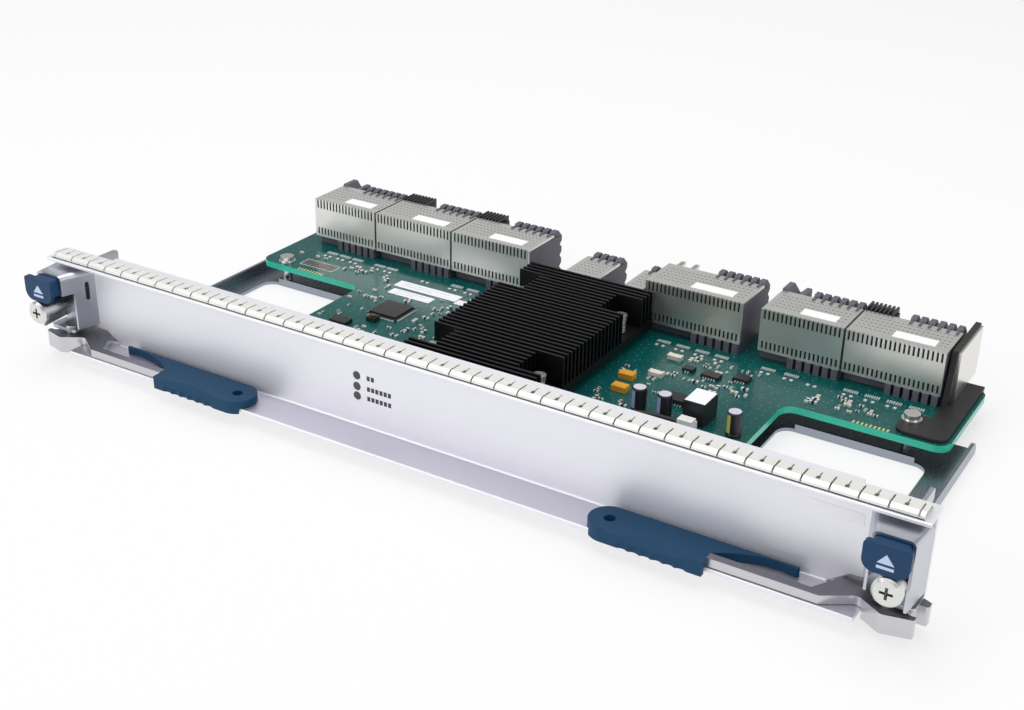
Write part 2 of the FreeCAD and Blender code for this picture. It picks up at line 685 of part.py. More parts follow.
def captive_screw():
    """Captive screw: cross-recessed head, skirt over the ferrule, shank and thread."""
    front = -FRONT_REACH
    head_rear = front + SCREW_HEAD
    skirt_inner = SCREW_SKIRT_RADIUS - SCREW_SKIRT_WALL
    thread = SCREW_TIP - SCREW_THREAD
    outline = [
        (0, front), (SCREW_HEAD_RADIUS - SCREW_HEAD_BEVEL, front),
        (SCREW_HEAD_RADIUS, front + SCREW_HEAD_BEVEL), (SCREW_HEAD_RADIUS, head_rear),
        (SCREW_SKIRT_RADIUS, head_rear), (SCREW_SKIRT_RADIUS, -SCREW_SKIRT_END),
        (skirt_inner, -SCREW_SKIRT_END), (skirt_inner, head_rear), (SCREW_SHANK, head_rear),
        (SCREW_SHANK, -BRACKET_SHEET), (SCREW_NECK_RADIUS, -BRACKET_SHEET), (SCREW_NECK_RADIUS, thread),
        (SCREW_SHANK, thread), (SCREW_SHANK, SCREW_TIP - SCREW_TIP_BEVEL),
        (SCREW_SHANK - SCREW_TIP_BEVEL, SCREW_TIP), (0, SCREW_TIP),
    ]
    points = [V(SCREW_X + r, y, SCREW_Z) for r, y in outline]
    face = Part.Face(Part.makePolygon(points + points[:1]))
    body = face.revolve(V(SCREW_X, 0, SCREW_Z), Y_AXIS, 360)
    arm, half = RECESS_ARM / 2, RECESS_WIDTH / 2
    y0, y1 = front - PAST, front + RECESS_DEPTH
    recess = [box(SCREW_X - arm, SCREW_X + arm, y0, y1, SCREW_Z - half, SCREW_Z + half),
              box(SCREW_X - half, SCREW_X + half, y0, y1, SCREW_Z - arm, SCREW_Z + arm)]
    return body.cut(recess)


def screw_spring():
    """Spring inside the ferrule that pushes the captive screw out."""
    outer = FERRULE_RADIUS - FERRULE_WALL - FERRULE_SPRING_GAP
    return tube(outer, outer - SPRING_WIRE, (SCREW_X, -FRONT_REACH + SCREW_HEAD, SCREW_Z),
                (SCREW_X, -FERRULE_SHOULDER, SCREW_Z))


def lever_outline():
    """Plan of the lever: bar, waist, boss and open claw."""
    jaw, mouth, claw = PIVOT_X + JAW_REACH, PIVOT_X + MOUTH_REACH, PIVOT_X + CLAW_REACH
    return [
        (ARM_INNER, -ARM_FRONT), (PIVOT_X - BEND_REACH, -ARM_FRONT), (PIVOT_X - WAIST_REACH, -WAIST_FRONT),
        (PIVOT_X - BOSS_REACH, -BOSS_FRONT), (jaw, -JAW_FRONT), (jaw, -JAW_REAR), (mouth, -JAW_REAR),
        (mouth, -CLAW_FRONT), (claw, -CLAW_FRONT), (claw, CLAW_REAR), (claw - CLAW_BEVEL, BOSS_REAR),
        (PIVOT_X - BOSS_REAR_REACH, BOSS_REAR), (PIVOT_X - SHOULDER_REACH, SHOULDER_Y),
        (PIVOT_X - SHOULDER_START, ARM_REAR), (ARM_INNER, ARM_REAR),
    ]


def lever_arm():
    """Die-cast lever: thin bar on the ledge, deep boss round the pivot and the chassis claw."""
    deep = plan(lever_outline(), LEVER_BOTTOM, LEVER_TOP)
    cuts = [box(ARM_INNER - PAST, PIVOT_X - reach, y, BOSS_REAR + PAST, LEVER_BOTTOM - PAST, ARM_BOTTOM)
            for reach, y in BOSS_CUTS]
    cuts.append(box(ARM_INNER - PAST, HANDLE_OUTER, -LEDGE_DEPTH, 0, TONGUE_TOP, LEVER_TOP + PAST))
    arm = deep.cut(cuts)
    rounds = (
        (WAIST_RADIUS, [(PIVOT_X - WAIST_REACH, -WAIST_FRONT)]),
        (BOSS_RADIUS, [(PIVOT_X - BOSS_REACH, -BOSS_FRONT)]),
        (JAW_RADIUS, [(PIVOT_X + JAW_REACH, -JAW_FRONT), (PIVOT_X + CLAW_REACH, -CLAW_FRONT)]),
        (MOUTH_RADIUS, [(PIVOT_X + MOUTH_REACH, -JAW_REAR), (PIVOT_X + MOUTH_REACH, -CLAW_FRONT)]),
    )
    for radius, places in rounds:
        arm = round_edges(arm, radius, lambda p, d: along(Z_AXIS)(d) and near(p, places))
    hole = rod(PIVOT_RADIUS + PIVOT_FIT, (PIVOT_X, PIVOT_Y, LEVER_BOTTOM - PAST),
               (PIVOT_X, PIVOT_Y, LEVER_TOP + PAST))
    return arm.cut(hole)


def pivot_pin():
    """Headed pin riveted in the bracket's shelf, under which the lever turns."""
    top = SHELF_BOTTOM + BRACKET_SHEET
    low = LEVER_BOTTOM - LEVER_LIFT
    pin = rod(PIVOT_RADIUS, (PIVOT_X, PIVOT_Y, low), (PIVOT_X, PIVOT_Y, top))
    heads = [rod(PIVOT_HEAD_RADIUS, (PIVOT_X, PIVOT_Y, z0), (PIVOT_X, PIVOT_Y, z1))
             for z0, z1 in ((low - PIVOT_HEAD, low), (LEVER_TOP + LEVER_LIFT, SHELF_BOTTOM),
                            (top, top + PIVOT_HEAD))]
    return pin.fuse(heads).removeSplitter()


def handle_plan(z0, z1):
    """Plan of the handle: round end, straight back, concave flank and thin tail with a round tip."""
    back = HANDLE_END_Y + HANDLE_RADIUS
    start, end = V(HANDLE_END_X, back, z0), V(HANDLE_END_X, HANDLE_FACE, z0)
    corner, step = V(HANDLE_OUTER, HANDLE_FACE, z0), V(HANDLE_OUTER, -TAIL_STEP, z0)
    tip, tip_back = V(TAIL_TIP_X, back - TAIL_WIDTH, z0), V(TAIL_TIP_X, back, z0)
    flank = (step + tip) * 0.5 + V(0, FLANK_SAG, 0)
    nose = (tip + tip_back) * 0.5 + V(TAIL_WIDTH / 2, 0, 0)
    edges = [
        Part.Arc(start, V(HANDLE_END_X - HANDLE_RADIUS, HANDLE_END_Y, z0), end).toShape(),
        Part.makeLine(end, corner),
        Part.makeLine(corner, step),
        Part.Arc(step, flank, tip).toShape(),
        Part.Arc(tip, nose, tip_back).toShape(),
        Part.makeLine(tip_back, start),
    ]
    return Part.Face(Part.Wire(edges)).extrude(V(0, 0, z1 - z0))


def grip_cuts():
    """Scooped facet along the handle's front top edge and the row of waves below it."""
    middle = V(HANDLE_END_X + GRIP_START + GRIP_LENGTH / 2, HANDLE_FACE, HANDLE_TOP)
    out, slope = V(0, -1, 1).normalize(), V(0, 1, 1).normalize()
    axis = middle + out * (FACET_RADIUS - FACET_DEPTH)
    cuts = [rod(FACET_RADIUS, axis - slope * FACET_LENGTH, axis + slope * FACET_LENGTH)]
    y = HANDLE_FACE - GRIP_SINK
    for i in range(int(GRIP_LENGTH // GRIP_PITCH)):
        x = HANDLE_END_X + GRIP_START + (i + 0.5) * GRIP_PITCH
        cuts.append(rod(GRIP_RADIUS, (x, y, HANDLE_RIM_BOTTOM - PAST), (x, y, HANDLE_TOP - GRIP_DROP)))
    return cuts


def lever_handle():
    """Moulded handle: over the ledge with a rim ahead of it, grip waves and a hanging hole."""
    floor = LEDGE_TOP + HANDLE_FLOAT
    body = handle_plan(HANDLE_RIM_BOTTOM, HANDLE_TOP)
    under = box(0, TAIL_TIP_X + TAIL_WIDTH, -LEDGE_DEPTH - HANDLE_RIM_GAP, 0, HANDLE_RIM_BOTTOM - PAST, floor)
    hole = rod(HANDLE_HOLE, (HANDLE_END_X, HANDLE_END_Y, floor - PAST),
               (HANDLE_END_X, HANDLE_END_Y, HANDLE_TOP + PAST))
    socket = box(ARM_INNER, HANDLE_OUTER + PAST, -ARM_FRONT, ARM_REAR, ARM_BOTTOM, TONGUE_TOP)
    return body.cut([under, hole, socket] + grip_cuts())


def carrier_tray():
    """Folded carrier: floor with two lipped windows, front wall on the web and low side rails."""
    floor = box(-TRAY_HALF, TRAY_HALF, WEB, TRAY_REAR, 0, TRAY_SHEET)
    wall = box(-NOTCH_INNER, NOTCH_INNER, WEB, WEB + TRAY_SHEET, 0, BOARD_BOTTOM)
    side_outline = [(RAIL_START, 0), (TRAY_REAR, 0), (TRAY_REAR, RAIL_HEIGHT), (RAIL_START, RAIL_HEIGHT)]
    pieces, cuts = [wall], []
    for side in (-1, 1):
        x0, x1 = sorted((side * TRAY_HALF, side * (TRAY_HALF - TRAY_SHEET)))
        rail = profile(side_outline, x0, x1)
        pieces.append(round_edges(rail, RAIL_END_RADIUS,
                                  lambda p, d: along(X_AXIS)(d) and p.z > RAIL_HEIGHT - TINY))
        x0, x1 = sorted((side * WINDOW_INNER, side * (TRAY_HALF - WINDOW_INSET)))
        window = box(x0, x1, WINDOW_FRONT, WINDOW_REAR, -PAST, TRAY_SHEET + PAST)
        cuts.append(round_edges(window, WINDOW_RADIUS, lambda p, d: along(Z_AXIS)(d)))
        pieces.append(box(x0 + WINDOW_RADIUS, x1 - WINDOW_RADIUS, WINDOW_REAR, WINDOW_REAR + TRAY_SHEET,
                          0, TRAY_SHEET + WINDOW_LIP))
    for x, y, _ in BOLT_PLACES:
        cuts.append(rod(SCREW_HOLE, (x, y, -PAST), (x, y, TRAY_SHEET + PAST)))
    return floor.fuse(pieces).removeSplitter().cut(cuts)


def board_standoffs():
    """Round standoffs between the tray and the board."""
    return Part.makeCompound([tube(STANDOFF_RADIUS, SCREW_HOLE, (x, y, TRAY_SHEET), (x, y, BOARD_BOTTOM))
                              for x, y, _ in BOLT_PLACES])


def board_screws():
    """Pan-head screws with washers that hold the board on its standoffs."""
    screws = []
    for x, y, seat in BOLT_PLACES:
        top = seat + WASHER
        washer = rod(WASHER_RADIUS, (x, y, seat), (x, y, top))
        head = rod(BOARD_SCREW_HEAD, (x, y, top), (x, y, top + BOARD_SCREW_HEIGHT))
        shank = rod(BOARD_SCREW_SHANK, (x, y, TRAY_SHEET / 2), (x, y, seat))
        screws.append(washer.fuse([head, shank]).removeSplitter())
    return Part.makeCompound(screws)


def circuit_board():
    """Thick board: core between the windows and a full-width rear strip with two wings."""
    core = box(CORE_LEFT, CORE_RIGHT, BOARD_FRONT, BOARD_REAR, BOARD_BOTTOM, BOARD_TOP)
    strip = box(-WING_HALF, WING_HALF, WING_FRONT, BOARD_REAR, BOARD_BOTTOM, BOARD_TOP)
    board = core.fuse(strip).removeSplitter()
    board = round_edges(board, CORE_RADIUS,
                        lambda p, d: along(Z_AXIS)(d) and abs(p.y - WING_FRONT) < TINY
                        and CORE_LEFT - TINY < p.x < CORE_RIGHT + TINY)
    board = round_edges(board, BOARD_CORNER,
                        lambda p, d: along(Z_AXIS)(d) and abs(abs(p.x) - WING_HALF) < TINY)
    holes = [rod(SCREW_HOLE, (x, y, BOARD_BOTTOM - PAST), (x, y, BOARD_TOP + PAST))
             for x, y, _ in BOLT_PLACES]
    holes += [rod(SINK_SCREW_RADIUS + SINK_HOLE_FIT, (x, y, BOARD_BOTTOM - PAST), (x, y, BOARD_TOP + PAST))
              for x, y in sink_bolts()]
    return board.cut(holes)


def sink_middle():
    """Middle of the heat sink in Y."""
    return SINK_FRONT + SINK_LENGTH / 2


def sink_bolts():
    """Places of the heat sink's four spring screws, in the middle of its side notches."""
    across = SINK_WIDTH / 2 - NOTCH_DEPTH / 2
    reach = (NOTCH_NEAR + NOTCH_FAR) / 2
    return [(SINK_X + sx * across, sink_middle() + sy * reach) for sx in (-1, 1) for sy in (-1, 1)]


def switch_chip():
    """Large switch chip under the heat sink."""
    return block(SINK_X, sink_middle(), BOARD_TOP, CHIP_SIDE, CHIP_SIDE, CHIP_HEIGHT)


def heat_sink():
    """Heat sink with cross fins and four side notches for its spring screws."""
    half = SINK_WIDTH / 2
    rear = SINK_FRONT + SINK_LENGTH
    base = box(SINK_X - half, SINK_X + half, SINK_FRONT, rear, SINK_BOTTOM, SINK_FLOOR)
    count = int((SINK_LENGTH - FIN) // FIN_PITCH) + 1
    first = SINK_FRONT + (SINK_LENGTH - FIN - (count - 1) * FIN_PITCH) / 2
    fins = [box(SINK_X - half, SINK_X + half, first + i * FIN_PITCH, first + i * FIN_PITCH + FIN,
                SINK_FLOOR, SINK_TOP) for i in range(count)]
    cuts = []
    for sx in (-1, 1):
        x0, x1 = sorted((SINK_X + sx * (half + PAST), SINK_X + sx * (half - NOTCH_DEPTH)))
        for sy in (-1, 1):
            y0, y1 = sorted((sink_middle() + sy * NOTCH_NEAR, sink_middle() + sy * NOTCH_FAR))
            cuts.append(box(x0, x1, y0, y1, SINK_FLOOR, SINK_TOP + PAST))
    cuts += [rod(SINK_SCREW_RADIUS + SINK_HOLE_FIT, (x, y, SINK_BOTTOM - PAST), (x, y, SINK_FLOOR + PAST))
             for x, y in sink_bolts()]
    return base.fuse(fins).cut(cuts)


def heat_sink_springs():
    """Springs under the heads of the heat sink's screws."""
    return Part.makeCompound([tube(SINK_SPRING_RADIUS, SINK_SPRING_RADIUS - SPRING_WIRE, (x, y, SINK_FLOOR),
                                   (x, y, SINK_FLOOR + SINK_SPRING_HEIGHT)) for x, y in sink_bolts()])


def heat_sink_screws():
    """Shoulder screws that press the heat sink down through their springs."""
    top = SINK_FLOOR + SINK_SPRING_HEIGHT
    screws = []
    for x, y in sink_bolts():
        shank = rod(SINK_SCREW_RADIUS, (x, y, BOARD_BOTTOM), (x, y, top))
        head = rod(SINK_SCREW_HEAD, (x, y, top), (x, y, top + SINK_SCREW_HEAD_HEIGHT))
        screws.append(shank.fuse(head).removeSplitter())
    return Part.makeCompound(screws)


def connector_shell(x0, x1, height):
    """Folded connector cover: front and top walls with slit rows along the fold and the foot."""
    a, b = x0 + SHELL_SIDE_GAP, x1 - SHELL_SIDE_GAP
    top, low = BOARD_TOP + height, SHELL_BOTTOM + LOWER_SLIT_RISE
    rear = CONNECTOR_FRONT + SHELL_SHEET
    front = box(a, b, CONNECTOR_FRONT, rear, SHELL_BOTTOM, top)
    roof = box(a, b, CONNECTOR_FRONT, SHELL_REAR, top - SHELL_SHEET, top)
    shell = front.fuse(roof).removeSplitter()
    count = int((b - a - SLIT) // SLIT_PITCH)
    first = (a + b - (count - 1) * SLIT_PITCH) / 2
    cuts = []
    for i in range(count):
        x = first + i * SLIT_PITCH
        for z0, z1 in ((top - UPPER_SLIT, top + PAST), (low, low + LOWER_SLIT)):
            cuts.append(box(x - SLIT / 2, x + SLIT / 2, CONNECTOR_FRONT - PAST, rear, z0, z1))
    return shell.cut(cuts)


def wafer_profile(top):
    """Side outline of one wafer behind the cover, with a scalloped rear edge."""
    crown = top + WAFER_RISE
    rise = crown - BOARD_TOP - WAFER_CHAMFER
    count = int(rise // SCALLOP_PITCH)
    step = rise / count
    bulge = FIN_REAR + SCALLOP
    points = [(SHELL_REAR, BOARD_TOP), (FIN_REAR, BOARD_TOP)]
    for i in range(count):
        z = BOARD_TOP + i * step
        points += [(bulge, z + step * SCALLOP_START), (bulge, z + step * SCALLOP_END), (FIN_REAR, z + step)]
    points += [(FIN_REAR - WAFER_CHAMFER, crown), (SHELL_REAR + WAFER_CHAMFER, crown),
               (SHELL_REAR, top - SHELL_SHEET)]
    return points


def connector_housing(x0, x1, height, span):
    """Moulded housing under a cover: core block, rear wafers and square feet on the board."""
    a, b = x0 + SHELL_SIDE_GAP, x1 - SHELL_SIDE_GAP
    top = BOARD_TOP + height
    core = box(a, b, CONNECTOR_FRONT + SHELL_SHEET, SHELL_REAR, SHELL_BOTTOM, top - SHELL_SHEET)
    base = box(a, b, CONNECTOR_FRONT + FOOT_DEPTH, SHELL_REAR, BOARD_TOP, SHELL_BOTTOM)
    wafers = int(span // WAFER_PITCH)
    back = box(b - wafers * WAFER_PITCH, b, SHELL_REAR, FIN_REAR - WAFER_CHAMFER,
               BOARD_TOP, top - WAFER_CHAMFER)
    pieces = [base, back]
    for i in range(wafers):
        x = b - (i + 0.5) * WAFER_PITCH
        pieces.append(profile(wafer_profile(top), x - WAFER / 2, x + WAFER / 2))
        pieces.append(box(x - TONGUE_WIDTH / 2, x + TONGUE_WIDTH / 2, SHELL_REAR - TONGUE_LENGTH,
                          SHELL_REAR + WAFER_CHAMFER, top, top + TONGUE_RISE))
        pieces.append(box(x - FOOT_WIDTH / 2, x + FOOT_WIDTH / 2, CONNECTOR_FRONT - FOOT_FORWARD,
                          CONNECTOR_FRONT + FOOT_DEPTH, BOARD_TOP, SHELL_BOTTOM))
    return core.fuse(pieces).removeSplitter()


def spare_width(x0, x1):
    """Width that a connector's wafers leave free at its left end."""
    return x1 - x0 - 2 * SHELL_SIDE_GAP - WAFER_SPAN


def guide_block(x0, x1):
    """Keying block with a V notch behind the left end of a connector."""
    a = x0 + SHELL_SIDE_GAP
    b = a + spare_width(x0, x1) * GUIDE_BLOCK_SHARE
    top = SHELL_TOP + WAFER_RISE
    low = top - GUIDE_BLOCK_STEP
    middle = (a + b) / 2
    half = GUIDE_NOTCH / 2 + GUIDE_NOTCH_MARGIN
    outline = [(a, BOARD_TOP), (b, BOARD_TOP), (b, low), (middle + half, low), (middle, top - GUIDE_NOTCH),
               (middle - half, top), (a, top)]
    return elevation(outline, SHELL_REAR, FIN_REAR + SCALLOP)


def power_block(x0, x1):
    """Ribbed power contact block behind the left end of a connector."""
    a = x0 + SHELL_SIDE_GAP
    width = spare_width(x0, x1) * POWER_BLOCK_SHARE
    core = box(a, a + width, SHELL_REAR, FIN_REAR, BOARD_TOP, SHELL_TOP - POWER_DROP)
    count = int((width - POWER_RIB) // POWER_RIB_PITCH) + 1
    ribs = []
    for i in range(count):
        x = a + i * POWER_RIB_PITCH
        ribs.append(box(x, x + POWER_RIB, SHELL_REAR, FIN_REAR + SCALLOP, BOARD_TOP, SHELL_TOP + WAFER_RISE))
    return core.fuse(ribs).removeSplitter()


def guide_pins(x0):
    """Pair of pointed guide pins that stand out behind a connector."""
    z = SHELL_TOP - GUIDE_PIN_RADIUS - SHELL_SHEET
    pins = []
    for i in range(2):
        x = x0 + SHELL_SIDE_GAP + (i + 0.5) * GUIDE_PIN_PITCH
        pin = rod(GUIDE_PIN_RADIUS, (x, SHELL_REAR, z), (x, FIN_REAR, z))
        tip = Part.makeCone(GUIDE_PIN_RADIUS, GUIDE_PIN_POINT, GUIDE_PIN_TAPER, V(x, FIN_REAR, z), Y_AXIS)
        pins.append(pin.fuse(tip).removeSplitter())
    return Part.makeCompound(pins)


def save_connectors():
    """Write every backplane connector's pieces."""
    guides, powers = [], []
    for name, left, right, kind in TALL_CONNECTORS:
        x0, x1 = left * WING_HALF, right * WING_HALF
        save(name + "_shell", connector_shell(x0, x1, SHELL_HEIGHT))
        save(name + "_housing", connector_housing(x0, x1, SHELL_HEIGHT, WAFER_SPAN))
        if kind == "guide":
            guides.append(guide_block(x0, x1))
        elif kind == "power":
            powers.append(power_block(x0, x1))
        else:
            save("guide_pins", guide_pins(x0))
    save("guide_blocks", Part.makeCompound(guides))
    save("power_blocks", Part.makeCompound(powers))
    low = [(left * WING_HALF, right * WING_HALF) for left, right in LOW_CONNECTORS]
    save("low_connector_shells", Part.makeCompound([connector_shell(x0, x1, LOW_HEIGHT) for x0, x1 in low]))
    save("low_connector_housings",
         Part.makeCompound([connector_housing(x0, x1, LOW_HEIGHT, x1 - x0) for x0, x1 in low]))


def keying_guide():
    """Moulded keying guide: foot screwed on the board's corner and an upright wall that slopes up from it."""
    x0, x1 = WING_HALF - FOOT_INSET, WING_HALF - FOOT_MARGIN
    foot_top = BOARD_TOP + GUIDE_FOOT
    top = BOARD_TOP + GUIDE_WALL_TOP_ABOVE
    foot = plan([(x0, FOOT_FRONT), (x1, FOOT_FRONT), (x1, BOARD_REAR), (WALL_X, BOARD_REAR),
                 (WALL_X, FOOT_STEP), (x0, FOOT_STEP)], BOARD_TOP, foot_top)
    corners = [(x1, FOOT_FRONT), (x0, FOOT_FRONT), (x0, FOOT_STEP)]
    foot = round_edges(foot, FOOT_CORNER, lambda p, d: along(Z_AXIS)(d) and near(p, corners))
    wall = profile([(GUIDE_WALL_FRONT - GUIDE_SLOPE, BOARD_TOP), (REAR_REACH, BOARD_TOP), (REAR_REACH, top),
                    (GUIDE_WALL_FRONT, top), (GUIDE_WALL_FRONT - GUIDE_SLOPE, foot_top)],
                   WALL_X, WALL_X + GUIDE_WALL)
    x, y, _ = BOLT_PLACES[1]
    hole = rod(SCREW_HOLE, (x, y, BOARD_TOP - PAST), (x, y, foot_top + PAST))
    return foot.fuse(wall).removeSplitter().cut(hole)


def guide_plate():
    """Bright wear plate on the outer face of the keying guide's wall."""
    x0 = WALL_X + GUIDE_WALL
    margin = GUIDE_PLATE_MARGIN
    return box(x0, x0 + GUIDE_PLATE, GUIDE_WALL_FRONT + margin, REAR_REACH - margin,
               BOARD_TOP + GUIDE_FOOT, BOARD_TOP + GUIDE_WALL_TOP_ABOVE - margin)


def controller_chip():
    """Square controller chip left of the heat sink."""
    x, y, side, height = CONTROLLER
    cap_side = side - 2 * CONTROLLER_CAP_INSET
    body = block(x, y, BOARD_TOP, side, side, height)
    cap = block(x, y, BOARD_TOP + height, cap_side, cap_side, CONTROLLER_CAP)
    return body.fuse(cap).removeSplitter()


def small_chips():
    """Moulded small-outline chips on the board."""
    return Part.makeCompound([block(x, y, BOARD_TOP, w, d, h) for x, y, w, d, h in SMALL_CHIPS])


def tantalum_capacitors():
    """Moulded tantalum capacitors."""
    w, d, h = TANTALUM
    chips = []
    for x, y in TANTALUMS:
        chip = block(x, y, BOARD_TOP, w, d, h)
        upper = [e for e in chip.Edges if e.CenterOfMass.z > BOARD_TOP + h - TINY]
        chips.append(chip.makeChamfer(TANTALUM_BEVEL, upper))
    return Part.makeCompound(chips)


def electrolytic_capacitors():
    """Radial can capacitors with a rolled groove near the foot."""
    z = BOARD_TOP
    r = CAN_RADIUS
    top = z + CAN_HEIGHT
    groove = z + CAN_BASE + CAN_GROOVE_HALF
    outline = [(0, z), (r, z), (r, z + CAN_BASE), (r - CAN_GROOVE, groove), (r, groove + CAN_GROOVE_HALF),
               (r, top - CAN_BEVEL), (r - CAN_BEVEL, top), (0, top)]
    cans = []
    for x, y in CAN_PLACES:
        points = [V(x + dx, y, dz) for dx, dz in outline]
        face = Part.Face(Part.makePolygon(points + points[:1]))
        cans.append(face.revolve(V(x, y, 0), Z_AXIS, 360))
    return Part.makeCompound(cans)


def power_module():
    """Tall moulded power module with a raised top."""
    x, y, w, d, h = POWER_MODULE
    body = block(x, y, BOARD_TOP, w, d, h)
    cap = block(x, y, BOARD_TOP + h, w - 2 * POWER_CAP_INSET, d - 2 * POWER_CAP_INSET, POWER_CAP)
    return body.fuse(cap).removeSplitter()


def shielded_inductor():
    """Small shielded inductor beside the controller chip, with its round core showing."""
    x, y, side, height = INDUCTOR
    body = block(x, y, BOARD_TOP, side, side, height)
    top = BOARD_TOP + height
    core = rod(INDUCTOR_CORE, (x, y, top), (x, y, top + INDUCTOR_CORE_RISE))
    return body.fuse(core).removeSplitter()


def lead_plug():
    """White plug on the board that the light lead ends in."""
    x, y, w, d, h = PLUG
    body = block(x, y, BOARD_TOP, w, d, h)
    lip = block(x, y + (d - PLUG_LIP) / 2, BOARD_TOP, PLUG_LIP_WIDTH, PLUG_LIP, h - PLUG_LIP_DROP)
    return body.fuse(lip).removeSplitter()


def light_lead():
    """Lead from the light board to its plug, as straight runs joined by tangent arcs."""
    points = [V(*p) for p in LEAD_ROUTE]
    edges = []
    last = points[0]
    for before, here, after in zip(points, points[1:], points[2:]):
        into, out = here - before, after - here
        turn = into.getAngle(out)
        setback = LEAD_BEND_SHARE * min(into.Length, out.Length)
        d_in, d_out = V(into).normalize(), V(out).normalize()
        start, end = here - d_in * setback, here + d_out * setback
        radius = setback / math.tan(turn / 2)
        bisector = (d_out - d_in).normalize()
        centre = here + bisector * (radius / math.cos(turn / 2))
        middle = centre - bisector * radius
        edges.append(Part.makeLine(last, start))
        edges.append(Part.Arc(start, middle, end).toShape())
        last = end
    edges.append(Part.makeLine(last, points[-1]))
    path = Part.Wire(edges)
    ring = Part.Wire(Part.makeCircle(LEAD_RADIUS, points[0], points[1] - points[0]))
    return path.makePipeShell([ring], True, False)


def blank_labels():
    """Blank stickers on the board, the connector covers and the panel."""
    labels = [block(x, y, BOARD_TOP, w, d, LABEL) for x, y, w, d in BOARD_LABELS]
    for _, left, right, _ in TALL_CONNECTORS:
        width = (right - left) * WING_HALF
        x = left * WING_HALF + width * COVER_LABEL_X
        y = CONNECTOR_FRONT + SHELL_DEPTH * COVER_LABEL_Y
        labels.append(block(x, y, SHELL_TOP, width * COVER_LABEL_WIDTH, SHELL_DEPTH * COVER_LABEL_DEPTH,
                            LABEL))
    z, w, h = PANEL_LABEL
    x = PANEL_HALF - PANEL_LABEL_INSET
    labels.append(box(x - w / 2, x + w / 2, -LABEL, 0, z - h / 2, z + h / 2))
    return Part.makeCompound(labels)


def main():
    """Build every piece and write one file for each."""
    os.makedirs("parts", exist_ok=True)
    save("front_panel", front_panel())
    save("emi_gasket", emi_gasket())
    save("status_lights", status_lights())
    save("light_board", light_board())
    save_pair("end_bracket", end_bracket())
    save_pair("button_guide", button_guide())
    save_pair("eject_button", eject_button())
    save_pair("button_spring", button_spring())
    save_pair("screw_ferrule", screw_ferrule())
    save_pair("captive_screw", captive_screw())
    save_pair("screw_spring", screw_spring())
    save_pair("lever_arm", lever_arm())
    save_pair("lever_handle", lever_handle())
    save_pair("pivot_pin", pivot_pin())
    save("carrier_tray", carrier_tray())
    save("board_standoffs", board_standoffs())
    save("board_screws", board_screws())
    save("circuit_board", circuit_board())
    save("switch_chip", switch_chip())
    save("heat_sink", heat_sink())
    save("heat_sink_springs", heat_sink_springs())
    save("heat_sink_screws", heat_sink_screws())
    save_connectors()
    save("keying_guide", keying_guide())
    save("guide_plate", guide_plate())
    save("controller_chip", controller_chip())
    save("small_chips", small_chips())
    save("tantalum_capacitors", tantalum_capacitors())
    save("electrolytic_capacitors", electrolytic_capacitors())
    save("power_module", power_module())
    save("shielded_inductor", shielded_inductor())
    save("lead_plug", lead_plug())
    save("light_lead", light_lead())
    save("blank_labels", blank_labels())


main()
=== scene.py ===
"""Dressed switch fabric module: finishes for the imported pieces, fine pieces, studio and camera."""
from __future__ import annotations

import json
import logging
import math
import random
from dataclasses import dataclass, field
from enum import Enum

import bmesh
import bpy
from mathutils import Matrix, Vector

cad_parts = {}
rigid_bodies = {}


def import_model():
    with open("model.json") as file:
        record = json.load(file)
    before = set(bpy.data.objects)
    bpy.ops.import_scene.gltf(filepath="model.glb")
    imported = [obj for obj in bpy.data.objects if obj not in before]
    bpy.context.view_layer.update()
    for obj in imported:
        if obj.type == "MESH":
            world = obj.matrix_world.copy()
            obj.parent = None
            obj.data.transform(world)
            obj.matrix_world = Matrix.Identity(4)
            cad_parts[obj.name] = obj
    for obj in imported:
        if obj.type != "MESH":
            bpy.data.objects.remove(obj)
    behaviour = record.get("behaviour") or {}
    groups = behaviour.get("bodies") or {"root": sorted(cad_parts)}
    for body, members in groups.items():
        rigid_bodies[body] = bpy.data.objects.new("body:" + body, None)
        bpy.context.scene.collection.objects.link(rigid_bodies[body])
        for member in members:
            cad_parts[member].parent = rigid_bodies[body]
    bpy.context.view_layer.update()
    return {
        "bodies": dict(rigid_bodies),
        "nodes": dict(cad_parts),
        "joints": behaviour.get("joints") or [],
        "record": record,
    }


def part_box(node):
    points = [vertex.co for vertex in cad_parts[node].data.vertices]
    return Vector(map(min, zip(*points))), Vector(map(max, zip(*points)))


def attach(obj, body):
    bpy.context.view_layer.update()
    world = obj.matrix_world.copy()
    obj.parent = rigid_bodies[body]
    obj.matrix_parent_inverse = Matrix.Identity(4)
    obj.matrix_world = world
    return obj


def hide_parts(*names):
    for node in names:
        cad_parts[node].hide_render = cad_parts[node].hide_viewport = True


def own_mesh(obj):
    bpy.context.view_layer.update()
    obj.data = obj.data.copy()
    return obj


LOG = logging.getLogger("module")
# A millimetre in the frame's metres, and the millimetres in a metre for the scale of a pattern
MM = 0.001
PER_METRE = 1000
# Body that carries the fixed pieces, and the two ends with their direction along X
ROOT = "module"
ENDS = (("left", -1), ("right", 1))
# Front face of the panel's web in the frame, in millimetres: this script counts Y from there
WEB_Y = -77.75
# Folds sharper than this many degrees stay crisp, and a rounded edge has so many steps
SHARP_FOLD = 32
EDGE_STEPS = 2
# Steps round one turn of a spring, and sides of its wire
TURN_STEPS = 20
WIRE_SIDES = 8
# Radians that Blender's wave texture turns through in one unit of its scale
WAVE_RADIANS = 20


